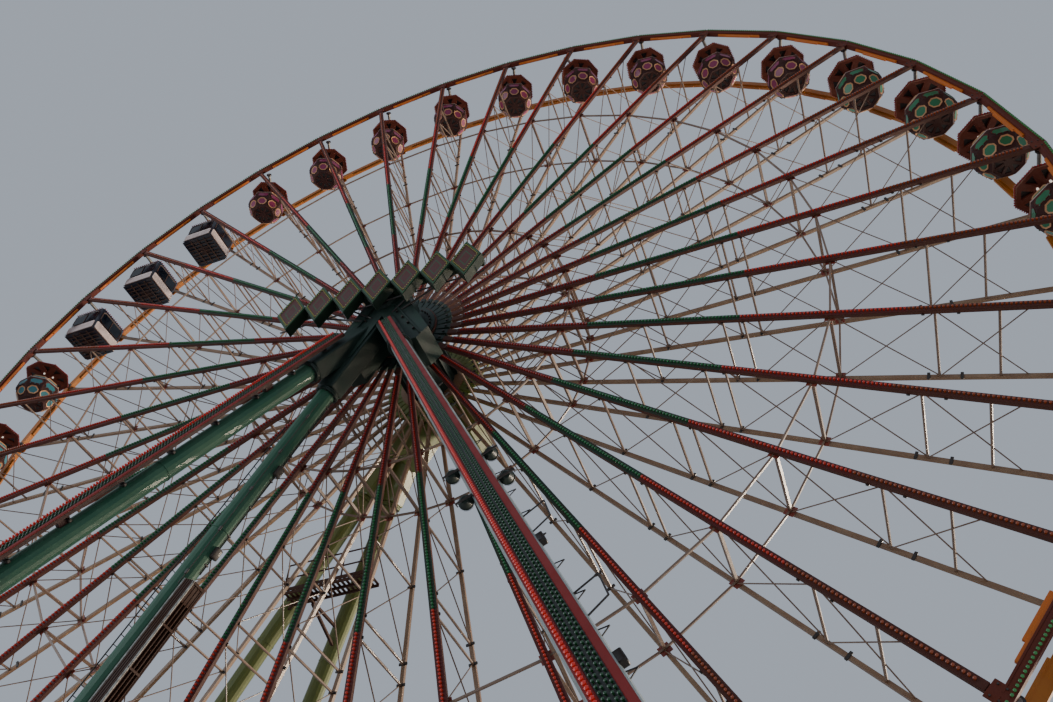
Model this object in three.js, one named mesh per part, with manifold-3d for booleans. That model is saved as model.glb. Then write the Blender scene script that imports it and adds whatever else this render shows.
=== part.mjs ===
// A large transportable ferris wheel: two spoked rims on a hub, thirty-six hanging gondolas and two
// raking stands. Built as a half-size model. X runs to the right, Y away from the front, Z up; the origin
// is on the floor below the hub.
import * as THREE from 'three';
import { mergeVertices } from 'three/addons/utils/BufferGeometryUtils.js';
import Module from 'manifold-3d';

const wasm = await Module();
wasm.setup();

// Model scale: sizes below are real metres, and m() turns them into model millimetres
const MM_PER_METRE = 500;
const m = (metres) => metres * MM_PER_METRE;
const TOUCH_GAP = 0.3;
const BEARING_GAP = 0.2;

// Wheel
const SPOKE_COUNT = 36;
const SPOKE_STEP = (2 * Math.PI) / SPOKE_COUNT;
const FIRST_SPOKE_ANGLE = THREE.MathUtils.degToRad(-70);
const HUB_HEIGHT = m(27);
const RIM_RADIUS = m(22.5);
const RIM_DEPTH = m(0.26);
const RIM_WIDTH = m(0.22);
const PLANE_OFFSET = m(1.35);
const CHORD_WIDTH = m(0.2);
const CHORD_DEPTH = m(0.12);
const REAR_CHORD_WIDTH = m(0.12);
const REAR_CHORD_DEPTH = m(0.12);
const TIE_SIZE = m(0.06);
const POST_SIZE = m(0.09);
const FAR = m(40);
const INNER_TIE_RADIUS = m(6.45);
const OUTER_TIE_RADIUS = m(15.2);

// Hub
const AXLE_RADIUS = m(0.35);
const DRUM_RADIUS = m(0.95);
const FLANGE_RADIUS = m(1.35);
const FLANGE_BORE = m(0.55);
const FLANGE_THICKNESS = m(0.3);
const HUB_SIDES = 24;
const BEARING_SIDES = 48;

// Gondolas, measured down from the pivot
const PIVOT_RADIUS = m(22.3);
const GONDOLA_SIDES = 8;
const HANGER_RADIUS = m(0.09);
const POLE_RADIUS = m(0.07);
const CANOPY_RADIUS = m(1.07);
const CANOPY_TOP = m(0.28);
const CANOPY_EDGE = m(0.42);
const CANOPY_UNDERSIDE = m(0.52);
const TUB_RADIUS = m(0.98);
const TUB_WALL = m(0.07);
const TUB_LIP = m(1.45);
const TUB_KNEE = m(1.9);
const FLOOR_RADIUS = m(0.6);
const FLOOR_TOP = m(2.3);
const FLOOR_UNDERSIDE = m(2.4);

// Closed cabins, which take the place of three gondolas
const CLOSED_CABINS = [1, 2, 3];
const CABIN_WIDTH = m(1.8);
const CABIN_TOP = m(0.4);
const CABIN_CEILING = m(0.52);
const CABIN_FLOOR = m(2.05);
const CABIN_UNDERSIDE = m(2.15);
const CABIN_WALL = m(0.06);
const CABIN_SILL = m(1.4);
const CABIN_HEAD = m(0.66);
const CABIN_POST = m(0.16);

// Stand
const LEG_RADIUS = m(0.3);
const LEG_SIDES = 16;
const LEG_APEX_DROP = m(1);
const LEG_APEX_OFFSET = m(2.6);
const HEAD_INNER = m(1.75);
const HEAD_THICKNESS = m(1.3);
const SIDE_SILL_X = m(11.8);
const SILL_HEIGHT = m(0.5);
const SILL_WIDTH = m(0.8);
const PAD_SIZE = m(1.6);

const materials = {
  legGreen: { color: 0x3f6a58, roughness: 0.5, metalness: 0.2 },
  legOlive: { color: 0x9a9a5c, roughness: 0.5, metalness: 0.2 },
  legGrey: { color: 0xb9bfc0, roughness: 0.5, metalness: 0.2 },
  hubGreen: { color: 0x2c4034, roughness: 0.5, metalness: 0.3 },
  steel: { color: 0x8b8e8f, roughness: 0.4, metalness: 0.9 },
  spokeRed: { color: 0x6e2320, roughness: 0.5, metalness: 0.2 },
  spokeBeige: { color: 0x9a7a5c, roughness: 0.5, metalness: 0.2 },
  rimRed: { color: 0x70241c, roughness: 0.5, metalness: 0.2 },
  rimGold: { color: 0xb5782e, roughness: 0.5, metalness: 0.2 },
  gondolaRed: { color: 0x7c3326, roughness: 0.45, metalness: 0.1 },
  gondolaGreen: { color: 0x4f6a3c, roughness: 0.45, metalness: 0.1 },
  cabinBlue: { color: 0x1f2a44, roughness: 0.4, metalness: 0.1 },
  panelRed: { color: 0x8a1d18, roughness: 0.5, metalness: 0.1 },
  galleryBrown: { color: 0x6b4a34, roughness: 0.6, metalness: 0.2 },
  deckGrey: { color: 0x777a78, roughness: 0.8, metalness: 0.1 },
  baseGrey: { color: 0x5f6664, roughness: 0.6, metalness: 0.3 },
  signGreen: { color: 0x24362b, roughness: 0.5, metalness: 0.1 },
};

const wheel = new THREE.Group();

function add(name, geometry, look, position = [0, 0, 0]) {
  const mesh = new THREE.Mesh(geometry, new THREE.MeshStandardMaterial(materials[look]));
  mesh.name = name;
  mesh.position.set(...position);
  wheel.add(mesh);
}

// Solids
function solid(geometry) {
  const bare = geometry.clone();
  bare.deleteAttribute('normal');
  bare.deleteAttribute('uv');
  const merged = mergeVertices(bare, 1e-3);
  return new wasm.Manifold(new wasm.Mesh({
    numProp: 3,
    vertProperties: Float32Array.from(merged.attributes.position.array),
    triVerts: Uint32Array.from(merged.index.array),
  }));
}

function geometryOf(body) {
  const mesh = body.getMesh();
  const geometry = new THREE.BufferGeometry();
  geometry.setAttribute('position', new THREE.BufferAttribute(mesh.vertProperties, 3));
  geometry.setIndex(new THREE.BufferAttribute(mesh.triVerts, 1));
  return geometry;
}

function joined(bodies) {
  return bodies.reduce((sum, body) => sum.add(body));
}

function box(width, depth, height, x, y, z) {
  return solid(new THREE.BoxGeometry(width, depth, height).translate(x, y, z));
}

// A box that fills the span between two corners
function span(low, high) {
  const size = high.map((value, axis) => value - low[axis]);
  const middle = high.map((value, axis) => (value + low[axis]) / 2);
  return box(...size, ...middle);
}

function frameAlong(start, end, facing) {
  const along = new THREE.Vector3().subVectors(end, start).normalize();
  const front = facing.clone().addScaledVector(along, -facing.dot(along)).normalize();
  const side = new THREE.Vector3().crossVectors(along, front);
  return { along, front, side, matrix: new THREE.Matrix4().makeBasis(side, along, front) };
}

// A straight bar of rectangular section from start to end, its depth turned towards facing
function bar(start, end, width, depth, facing) {
  const { matrix } = frameAlong(start, end, facing);
  const length = start.distanceTo(end);
  const geometry = new THREE.BoxGeometry(width, length, depth).applyMatrix4(matrix);
  return solid(geometry.translate(...start.clone().lerp(end, 0.5).toArray()));
}

function tube(start, end, radius, sides) {
  const { matrix } = frameAlong(start, end, new THREE.Vector3(0, -1, 0.001));
  const length = start.distanceTo(end);
  const geometry = new THREE.CylinderGeometry(radius, radius, length, sides).applyMatrix4(matrix);
  return solid(geometry.translate(...start.clone().lerp(end, 0.5).toArray()));
}

// A disc on the wheel's axis, its corners on the spokes where sides is the spoke count
function disc(radius, from, to, sides, turn = 0) {
  const geometry = new THREE.CylinderGeometry(radius, radius, to - from, sides, 1, false, turn);
  return solid(geometry.translate(0, (from + to) / 2, HUB_HEIGHT));
}

const RIM_TURN = FIRST_SPOKE_ANGLE;
const FACING_FRONT = new THREE.Vector3(0, -1, 0);

function spokeAngle(index) {
  return FIRST_SPOKE_ANGLE + index * SPOKE_STEP;
}

function wheelPoint(angle, radius, y) {
  return new THREE.Vector3(radius * Math.sin(angle), y, HUB_HEIGHT + radius * Math.cos(angle));
}

// Rims
function rim(y) {
  const outer = disc(RIM_RADIUS, y - RIM_WIDTH / 2, y + RIM_WIDTH / 2, SPOKE_COUNT, RIM_TURN);
  const inner = disc(RIM_RADIUS - RIM_DEPTH, y - RIM_WIDTH, y + RIM_WIDTH, SPOKE_COUNT, RIM_TURN);
  return outer.subtract(inner);
}

// One plane of the wheel: a flange, and a chord to each corner of the rim
function spokes(y, width, depth) {
  const flangeHalf = FLANGE_THICKNESS / 2;
  const parts = [disc(FLANGE_RADIUS, y - flangeHalf, y + flangeHalf, SPOKE_COUNT, RIM_TURN)];
  for (let index = 0; index < SPOKE_COUNT; index += 1) {
    const angle = spokeAngle(index);
    const start = wheelPoint(angle, FLANGE_BORE + width, y);
    parts.push(bar(start, wheelPoint(angle, RIM_RADIUS, y), width, depth, FACING_FRONT));
  }
  const bore = disc(FLANGE_BORE, y - FLANGE_THICKNESS, y + FLANGE_THICKNESS, HUB_SIDES);
  const rimInside = RIM_RADIUS - RIM_DEPTH - TOUCH_GAP;
  const insideRim = disc(rimInside, y - FLANGE_THICKNESS, y + FLANGE_THICKNESS, SPOKE_COUNT, RIM_TURN);
  return joined(parts).subtract(bore).intersect(insideRim);
}

// A cage of posts between the two planes of chords, with a ring of ties at each end
function tieRing(radius) {
  const frontEnd = -PLANE_OFFSET + CHORD_DEPTH / 2 + TOUCH_GAP;
  const rearEnd = PLANE_OFFSET - REAR_CHORD_DEPTH / 2 - TOUCH_GAP;
  const ends = [frontEnd + POST_SIZE / 2, rearEnd - POST_SIZE / 2];
  const parts = [];
  for (let index = 0; index < SPOKE_COUNT; index += 1) {
    const angle = spokeAngle(index);
    const outwards = new THREE.Vector3(Math.sin(angle), 0, Math.cos(angle));
    const foot = wheelPoint(angle, radius, frontEnd);
    parts.push(bar(foot, wheelPoint(angle, radius, rearEnd), POST_SIZE, POST_SIZE, outwards));
    ends.forEach((y) => {
      const next = wheelPoint(angle + SPOKE_STEP, radius, y);
      parts.push(bar(wheelPoint(angle, radius, y), next, TIE_SIZE, TIE_SIZE, FACING_FRONT));
    });
  }
  return joined(parts);
}

function hubDrum() {
  const half = PLANE_OFFSET - FLANGE_THICKNESS / 2 - TOUCH_GAP;
  const drum = disc(DRUM_RADIUS, -half, half, HUB_SIDES);
  const boreRadius = (AXLE_RADIUS + BEARING_GAP) / Math.cos(Math.PI / BEARING_SIDES);
  return drum.subtract(disc(boreRadius, -HEAD_INNER, HEAD_INNER, BEARING_SIDES));
}

// Gondolas
function gondolaAxle() {
  const reach = PLANE_OFFSET - RIM_WIDTH / 2 - TOUCH_GAP;
  return bar(new THREE.Vector3(0, -reach, 0), new THREE.Vector3(0, reach, 0),
    HANGER_RADIUS * 2, HANGER_RADIUS * 2, new THREE.Vector3(0, 0, 1));
}

function openGondola() {
  const outline = [
    [0, -FLOOR_UNDERSIDE],
    [FLOOR_RADIUS, -FLOOR_UNDERSIDE],
    [TUB_RADIUS, -TUB_KNEE],
    [TUB_RADIUS, -TUB_LIP],
    [TUB_RADIUS - TUB_WALL, -TUB_LIP],
    [TUB_RADIUS - TUB_WALL, -TUB_KNEE],
    [FLOOR_RADIUS - TUB_WALL, -FLOOR_TOP],
    [POLE_RADIUS, -FLOOR_TOP],
    [POLE_RADIUS, -CANOPY_UNDERSIDE],
    [CANOPY_RADIUS, -CANOPY_UNDERSIDE],
    [CANOPY_RADIUS, -CANOPY_EDGE],
    [HANGER_RADIUS, -CANOPY_TOP],
    [HANGER_RADIUS, 0],
    [0, 0],
  ].map(([radius, height]) => new THREE.Vector2(radius, height));
  const turned = new THREE.LatheGeometry(outline, GONDOLA_SIDES);
  turned.rotateX(Math.PI / 2);
  turned.rotateZ(Math.PI / GONDOLA_SIDES);
  return geometryOf(solid(turned).add(gondolaAxle()));
}

function closedCabin() {
  const half = CABIN_WIDTH / 2;
  const inside = half - CABIN_WALL;
  const opening = half - CABIN_POST;
  const through = CABIN_WIDTH;
  const hull = span([-half, -half, -CABIN_UNDERSIDE], [half, half, -CABIN_TOP]);
  const room = span([-inside, -inside, -CABIN_FLOOR], [inside, inside, -CABIN_CEILING]);
  const sideWindows = span([-through, -opening, -CABIN_SILL], [through, opening, -CABIN_HEAD]);
  const frontWindows = span([-opening, -through, -CABIN_SILL], [opening, through, -CABIN_HEAD]);
  const shell = hull.subtract(room).subtract(sideWindows).subtract(frontWindows);
  const hanger = span(
    [-HANGER_RADIUS, -HANGER_RADIUS, -(CABIN_TOP + CABIN_CEILING) / 2],
    [HANGER_RADIUS, HANGER_RADIUS, 0],
  );
  return geometryOf(joined([shell, hanger, gondolaAxle()]));
}

// Stands
const frontOuter = { sign: -1, footY: m(-12.4), startDrop: m(0.8) };
const frontInner = { sign: -1, footY: m(-3.6), startDrop: m(-0.8) };
const rearInner = { sign: 1, footY: m(3.2), startDrop: m(-0.8) };
const rearOuter = { sign: 1, footY: m(9), startDrop: m(0.8) };
const legs = {
  frontLeft: { side: frontOuter, topX: m(-0.69), footX: m(-11.95) },
  frontRight: { side: frontOuter, topX: m(0.05), footX: m(11.66) },
  frontInnerLeft: { side: frontInner, topX: m(-0.38), footX: m(-12.42) },
  frontInnerRight: { side: frontInner, topX: m(0.1), footX: m(11.3) },
  rearLeft: { side: rearOuter, topX: m(-1.05), footX: m(-12.78) },
  rearRight: { side: rearOuter, topX: m(0.2), footX: m(10.5) },
  rearInnerLeft: { side: rearInner, topX: m(-1.55), footX: m(-15.91) },
  rearInnerRight: { side: rearInner, topX: m(0.2), footX: m(11) },
};

function legTop({ side, topX }) {
  return new THREE.Vector3(topX, side.sign * LEG_APEX_OFFSET, HUB_HEIGHT - LEG_APEX_DROP);
}

function legFoot({ side, footX }) {
  return new THREE.Vector3(footX, side.footY, SILL_HEIGHT);
}

function alongLeg(which, share) {
  return legTop(which).lerp(legFoot(which), share);
}

const frontFrame = { sign: -1, inner: [legs.frontInnerLeft, legs.frontInnerRight] };
const rearFrame = { sign: 1, inner: [legs.rearInnerLeft, legs.rearInnerRight] };

// The head that carries one end of the axle, open below between the legs
const HEAD_OUTLINE = [
  [-0.7, 0.8], [-0.8, 0], [-1.9, -2.3], [-1.5, -2.75], [-0.95, -2.75], [0, -0.9],
  [0.95, -2.75], [1.5, -2.75], [1.9, -2.3], [0.8, 0], [0.7, 0.8],
];

function bearingHead(sign, grow) {
  const scale = 1 + grow / m(1);
  const corners = HEAD_OUTLINE.map(([x, z]) => new THREE.Vector2(m(x) * scale, m(z) * scale));
  const depth = HEAD_THICKNESS + grow * 2;
  const plate = new THREE.ExtrudeGeometry(new THREE.Shape(corners), { depth, bevelEnabled: false });
  const middle = sign * (HEAD_INNER + HEAD_THICKNESS / 2);
  return solid(plate.rotateX(Math.PI / 2).translate(0, middle + depth / 2, HUB_HEIGHT));
}

// A leg's tube runs on below its foot, where it is cut level
const LEG_OVERRUN = 1.04;

function legTube(which, radius = LEG_RADIUS) {
  const height = HUB_HEIGHT - LEG_APEX_DROP - SILL_HEIGHT;
  const start = alongLeg(which, which.side.startDrop / height);
  return tube(start, alongLeg(which, LEG_OVERRUN), radius, LEG_SIDES);
}

function cutAtSill(body) {
  return body.subtract(span([-FAR, -FAR, -FAR], [FAR, FAR, SILL_HEIGHT + TOUCH_GAP]));
}

// A bearing head with the two inner legs welded to it
function bearingFrame({ sign, inner }, grow = 0) {
  const tubes = inner.map((which) => legTube(which, LEG_RADIUS + grow));
  return cutAtSill(joined([bearingHead(sign, grow), ...tubes]));
}

function outerLeg(which, frame) {
  return cutAtSill(legTube(which)).subtract(bearingFrame(frame, TOUCH_GAP * 2));
}

// Brackets from the middle of a leg out to what it carries, at shares of the carried length
function brackets(start, end, shift, shares, width, depth) {
  const along = new THREE.Vector3().subVectors(end, start);
  return shares.map((share) => {
    const root = start.clone().lerp(end, share);
    return bar(root, root.clone().add(shift), width, depth, along);
  });
}

// A narrow lamp panel held off the front of a leg
const PANEL_START = 0.05;
const PANEL_END = 0.93;
const PANEL_WIDTH = m(0.47);
const PANEL_THICKNESS = m(0.1);
const PANEL_STANDOFF = m(0.55);
const PANEL_BRACKETS = [0.14, 0.42, 0.7, 0.97];
const BRACKET_WIDTH = m(0.16);
const BRACKET_DEPTH = m(0.3);

function lampPanel(which) {
  const start = alongLeg(which, PANEL_START);
  const end = alongLeg(which, PANEL_END);
  const { front: normal } = frameAlong(start, end, FACING_FRONT);
  const shift = normal.clone().multiplyScalar(PANEL_STANDOFF);
  const top = start.clone().add(shift);
  const bottom = end.clone().add(shift);
  const face = bar(top, bottom, PANEL_WIDTH, PANEL_THICKNESS, FACING_FRONT);
  const arms = brackets(start, end, shift, PANEL_BRACKETS, BRACKET_WIDTH, BRACKET_DEPTH);
  return joined([face, ...arms]).subtract(legTube(which, LEG_RADIUS + TOUCH_GAP));
}

// A slatted ladder way along the lower part of the left inner leg
const WAY_START = 0.382;
const WAY_END = 0.95;
const WAY_WIDTH = m(0.46);
const WAY_DEPTH = m(0.4);
const WAY_CLEARANCE = m(0.06);
const WAY_SLOT_WIDTH = m(0.08);
const WAY_SLOT_OFFSETS = [m(-0.13), 0, m(0.13)];
const WAY_SLOT_STARTS = [0.04, 0.37, 0.7];
const WAY_SLOT_SHARE = 0.27;
const WAY_BRACKETS = [0.02, 0.35, 0.68, 0.985];

function ladderWay() {
  const toTheRight = new THREE.Vector3(1, 0, 0);
  const start = alongLeg(legs.frontInnerLeft, WAY_START);
  const end = alongLeg(legs.frontInnerLeft, WAY_END);
  const { front: normal, side } = frameAlong(start, end, toTheRight);
  const shift = normal.clone().multiplyScalar(LEG_RADIUS + WAY_DEPTH / 2 + WAY_CLEARANCE);
  const begin = start.clone().add(shift);
  const finish = end.clone().add(shift);
  const tray = bar(begin, finish, WAY_WIDTH, WAY_DEPTH, toTheRight);
  const slots = WAY_SLOT_OFFSETS.flatMap((offset) => WAY_SLOT_STARTS.map((share) => {
    const across = side.clone().multiplyScalar(offset);
    const from = begin.clone().lerp(finish, share).add(across);
    const to = begin.clone().lerp(finish, share + WAY_SLOT_SHARE).add(across);
    return bar(from, to, WAY_SLOT_WIDTH, WAY_DEPTH * 2, toTheRight);
  }));
  const arms = brackets(start, end, shift, WAY_BRACKETS, BRACKET_WIDTH, BRACKET_WIDTH);
  const carried = joined([tray.subtract(joined(slots)), ...arms]);
  return carried.subtract(legTube(legs.frontInnerLeft, LEG_RADIUS + TOUCH_GAP));
}

// A railed service deck carried by the two left legs of the rear stand
const PLATFORM_DROP = m(8);
const PLATFORM_LEFT = m(-5.2);
const PLATFORM_RIGHT = m(-1.9);
const PLATFORM_FRONT = m(1.8);
const PLATFORM_BACK = m(2.55);
const PLATFORM_THICKNESS = m(0.12);
const ARM_DEPTH = m(0.25);
const RAIL_SIZE = m(0.08);
const RAIL_HEIGHTS = [m(0.55), m(1.08)];

function servicePlatform() {
  const floor = HUB_HEIGHT - PLATFORM_DROP;
  const underside = floor - PLATFORM_THICKNESS;
  const deck = span([PLATFORM_LEFT, PLATFORM_FRONT, underside], [PLATFORM_RIGHT, PLATFORM_BACK, floor]);
  const railBack = PLATFORM_FRONT + RAIL_SIZE;
  const railHalf = RAIL_SIZE / 2;
  const railTop = floor + RAIL_HEIGHTS[1] + railHalf;
  const posts = [0, 1 / 3, 2 / 3, 1].map((share) => {
    const x = PLATFORM_LEFT + (PLATFORM_RIGHT - RAIL_SIZE - PLATFORM_LEFT) * share;
    return span([x, PLATFORM_FRONT, underside], [x + RAIL_SIZE, railBack, railTop]);
  });
  const rails = RAIL_HEIGHTS.map((height) => span(
    [PLATFORM_LEFT, PLATFORM_FRONT, floor + height - railHalf],
    [PLATFORM_RIGHT, railBack, floor + height + railHalf],
  ));
  const carriers = [legs.rearInnerLeft, legs.rearLeft];
  const armTop = underside + RAIL_SIZE / 2;
  const share = (PLATFORM_DROP + ARM_DEPTH - LEG_APEX_DROP) / (HUB_HEIGHT - LEG_APEX_DROP - SILL_HEIGHT);
  const half = ARM_DEPTH / 2;
  const arms = carriers.map((which) => {
    const root = alongLeg(which, share);
    const inner = Math.max(root.x, PLATFORM_LEFT + half);
    const far = [inner + half, root.y, armTop];
    const hold = span([inner - half, PLATFORM_BACK - ARM_DEPTH, armTop - ARM_DEPTH], far);
    return hold.add(span([root.x, root.y - half, armTop - ARM_DEPTH], far));
  });
  const tubes = carriers.map((which) => legTube(which, LEG_RADIUS + TOUCH_GAP));
  return joined([deck, ...posts, ...rails, ...arms]).subtract(joined(tubes));
}

// The sills that the legs stand on
const SILL_OVERHANG = m(1);

function baseFrame() {
  const half = SILL_WIDTH / 2;
  const sill = (low, high) => span([...low, 0], [...high, SILL_HEIGHT]);
  const lengthways = [-SIDE_SILL_X, 0, SIDE_SILL_X].map((x) => (
    sill([x - half, frontOuter.footY - SILL_OVERHANG], [x + half, rearOuter.footY + SILL_OVERHANG])
  ));
  const right = SIDE_SILL_X + SILL_OVERHANG;
  const across = [legs.frontLeft, legs.frontInnerLeft, legs.rearInnerLeft, legs.rearLeft].map(
    ({ side, footX }) => sill([footX - SILL_OVERHANG, side.footY - half], [right, side.footY + half]),
  );
  const reach = PAD_SIZE / 2;
  const pads = Object.values(legs).map(({ side, footX }) => (
    sill([footX - reach, side.footY - reach], [footX + reach, side.footY + reach])
  ));
  return joined([...lengthways, ...across, ...pads]);
}

// The boarding deck below the lowest gondola, and the steps to it
const BOARDING_HALF_LENGTH = m(6.6);
const BOARDING_FRONT = m(-6.6);
const BOARDING_BACK = m(2.4);
const BOARDING_TOP = m(2);
const BOARDING_THICKNESS = m(0.2);
const DECK_POST_SIZE = m(0.3);
const STEP_COUNT = 9;
const STEP_RUN = m(0.3);
const STEPS_LEFT = m(0.8);
const STEPS_RIGHT = m(5.6);

function boardingDeck() {
  const underside = BOARDING_TOP - BOARDING_THICKNESS;
  const farCorner = [BOARDING_HALF_LENGTH, BOARDING_BACK, BOARDING_TOP];
  const floor = span([-BOARDING_HALF_LENGTH, BOARDING_FRONT, underside], farCorner);
  const half = DECK_POST_SIZE / 2;
  const top = underside + half;
  const post = (x, y, bottom) => span([x - half, y - half, bottom], [x + half, y + half, top]);
  const edge = BOARDING_HALF_LENGTH - DECK_POST_SIZE;
  const onSill = SILL_HEIGHT + TOUCH_GAP;
  const rows = [BOARDING_FRONT + DECK_POST_SIZE, BOARDING_BACK - DECK_POST_SIZE];
  const posts = rows.flatMap((y) => [post(-edge, y, 0), post(0, y, onSill), post(edge, y, 0)]);
  return joined([floor, ...posts]);
}

function boardingSteps() {
  const back = BOARDING_FRONT - TOUCH_GAP;
  const treads = [];
  for (let index = 1; index <= STEP_COUNT; index += 1) {
    const top = BOARDING_TOP * (1 - index / (STEP_COUNT + 1));
    treads.push(span([STEPS_LEFT, back - STEP_RUN * index, 0], [STEPS_RIGHT, back, top]));
  }
  return joined(treads);
}

// The ornament in front of the hub: lozenges on a carrier rail
const SIGN_Y = m(-3.5);
const SIGN_HALF_WIDTH = m(4);
const SIGN_RAIL_SIZE = m(0.22);
const SIGN_ARM_X = m(0.6);
const LOZENGE_COUNT = 7;
const LOZENGE_STEP = m(1.15);
const LOZENGE_HALF_WIDTH = m(0.6);
const LOZENGE_HALF_HEIGHT = m(1.05);
const LOZENGE_THICKNESS = m(0.35);

function signOrnament() {
  const half = SIGN_RAIL_SIZE / 2;
  const headFront = -HEAD_INNER - HEAD_THICKNESS - TOUCH_GAP;
  const railBack = SIGN_Y + SIGN_RAIL_SIZE;
  const low = HUB_HEIGHT - half;
  const high = HUB_HEIGHT + half;
  const rail = span([-SIGN_HALF_WIDTH, SIGN_Y, low], [SIGN_HALF_WIDTH, railBack, high]);
  const arms = [-SIGN_ARM_X, SIGN_ARM_X].map((x) => (
    span([x - half, SIGN_Y, low], [x + half, headFront, high])
  ));
  const outline = new THREE.Shape([
    new THREE.Vector2(0, -LOZENGE_HALF_HEIGHT),
    new THREE.Vector2(LOZENGE_HALF_WIDTH, 0),
    new THREE.Vector2(0, LOZENGE_HALF_HEIGHT),
    new THREE.Vector2(-LOZENGE_HALF_WIDTH, 0),
  ]);
  const lozenges = Array.from({ length: LOZENGE_COUNT }, (_, index) => {
    const plate = new THREE.ExtrudeGeometry(outline, { depth: LOZENGE_THICKNESS, bevelEnabled: false });
    const x = (index - (LOZENGE_COUNT - 1) / 2) * LOZENGE_STEP;
    return solid(plate.rotateX(Math.PI / 2).translate(x, SIGN_Y + half, HUB_HEIGHT));
  });
  return joined([rail, ...arms, ...lozenges]);
}

// Stand
add('base_frame', geometryOf(baseFrame()), 'baseGrey');
add('boarding_deck', geometryOf(boardingDeck()), 'deckGrey');
add('boarding_steps', geometryOf(boardingSteps()), 'deckGrey');
add('front_bearing_frame', geometryOf(bearingFrame(frontFrame)), 'legGreen');
add('front_left_leg', geometryOf(outerLeg(legs.frontLeft, frontFrame)), 'legGreen');
add('front_right_leg', geometryOf(outerLeg(legs.frontRight, frontFrame)), 'legGrey');
add('rear_bearing_frame', geometryOf(bearingFrame(rearFrame)), 'legOlive');
add('rear_left_leg', geometryOf(outerLeg(legs.rearLeft, rearFrame)), 'legOlive');
add('rear_right_leg', geometryOf(outerLeg(legs.rearRight, rearFrame)), 'legOlive');
const axleReach = HEAD_INNER - TOUCH_GAP;
add('main_axle', geometryOf(disc(AXLE_RADIUS, -axleReach, axleReach, BEARING_SIDES)), 'steel');
add('left_lamp_panel', geometryOf(lampPanel(legs.frontLeft)), 'panelRed');
add('right_lamp_panel', geometryOf(lampPanel(legs.frontRight)), 'panelRed');
add('ladder_way', geometryOf(ladderWay()), 'galleryBrown');
add('service_platform', geometryOf(servicePlatform()), 'galleryBrown');
add('sign_ornament', geometryOf(signOrnament()), 'signGreen');

// Wheel
add('hub_drum', geometryOf(hubDrum()), 'hubGreen');
add('front_rim', geometryOf(rim(-PLANE_OFFSET)), 'rimRed');
add('rear_rim', geometryOf(rim(PLANE_OFFSET)), 'rimGold');
add('front_spokes', geometryOf(spokes(-PLANE_OFFSET, CHORD_WIDTH, CHORD_DEPTH)), 'spokeRed');
add('rear_spokes', geometryOf(spokes(PLANE_OFFSET, REAR_CHORD_WIDTH, REAR_CHORD_DEPTH)), 'spokeBeige');
add('inner_tie_ring', geometryOf(tieRing(INNER_TIE_RADIUS)), 'spokeBeige');
add('outer_tie_ring', geometryOf(tieRing(OUTER_TIE_RADIUS)), 'spokeBeige');

// Gondolas
const openShape = openGondola();
const closedShape = closedCabin();
for (let index = 0; index < SPOKE_COUNT; index += 1) {
  const closed = CLOSED_CABINS.includes(index);
  const pivot = wheelPoint(spokeAngle(index), PIVOT_RADIUS, 0);
  const name = `gondola_${String(index + 1).padStart(2, '0')}`;
  const look = closed ? 'cabinBlue' : 'gondolaRed';
  add(name, closed ? closedShape : openShape, look, pivot.toArray());
}

export default wheel;
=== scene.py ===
# The looks of a half-size ferris wheel: lamps, trusses, gondolas, fittings and finishes round its solid frame
import math
import random

import bpy
from mathutils import Matrix, Vector


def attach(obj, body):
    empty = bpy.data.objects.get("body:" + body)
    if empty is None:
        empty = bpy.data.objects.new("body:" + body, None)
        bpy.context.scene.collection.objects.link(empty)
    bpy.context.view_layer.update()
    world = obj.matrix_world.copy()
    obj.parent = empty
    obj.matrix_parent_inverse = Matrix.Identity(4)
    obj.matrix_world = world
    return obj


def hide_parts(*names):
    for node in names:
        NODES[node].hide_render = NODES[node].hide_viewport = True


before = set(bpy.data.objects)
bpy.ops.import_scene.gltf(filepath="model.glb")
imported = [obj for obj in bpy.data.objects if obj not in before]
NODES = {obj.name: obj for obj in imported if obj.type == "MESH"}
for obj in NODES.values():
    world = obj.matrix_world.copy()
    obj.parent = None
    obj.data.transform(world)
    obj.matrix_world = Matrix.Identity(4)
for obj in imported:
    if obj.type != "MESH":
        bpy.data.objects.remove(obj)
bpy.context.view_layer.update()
draw = random.Random(36)

# Sizes are real metres; the model is half of that
SCALE = 0.5
HUB_HEIGHT = 27.0
SPOKE_COUNT = 36
FIRST_SPOKE = -70
SPOKE_STEP = 10
RIM_RADIUS = 22.5
PIVOT_RADIUS = 22.3
PLANE_OFFSET = 1.35
CHORD_WIDTH = 0.2
CHORD_DEPTH = 0.12
INNER_RING = 6.45
OUTER_RING = 15.2

UP = Vector((0, 0, 1))
FRONT = Vector((0, -1, 0))
RIGHTWARDS = Vector((1, 0, 0))
PARALLEL = 1e-4


# Camera
CAMERA_PLACE = (5.577, -9.642, 0.793)
CAMERA_TURN = (139.748, 0.482, 20.013)
CAMERA_LENS = 29.88
camera = bpy.data.objects.new("camera", bpy.data.cameras.new("camera"))
camera.location = CAMERA_PLACE
camera.rotation_euler = [math.radians(angle) for angle in CAMERA_TURN]
camera.data.lens = CAMERA_LENS
camera.data.sensor_width = 36
camera.data.clip_end = 1000
bpy.context.scene.collection.objects.link(camera)
bpy.context.scene.camera = camera


# Modelling helpers
def deselect():
    for piece in bpy.context.selected_objects:
        piece.select_set(False)


def take_up(piece):
    """Makes a piece the only one selected, and the active one."""
    deselect()
    piece.select_set(True)
    bpy.context.view_layer.objects.active = piece


def newest(name, material=None):
    piece = bpy.context.active_object
    piece.name = name
    if material:
        piece.data.materials.append(material)
    return piece


def settle(piece, matrix=None):
    """Puts a piece's place and turn into its mesh."""
    piece.data.transform((matrix or Matrix()) @ piece.matrix_basis)
    piece.matrix_basis = Matrix()
    return piece


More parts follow.
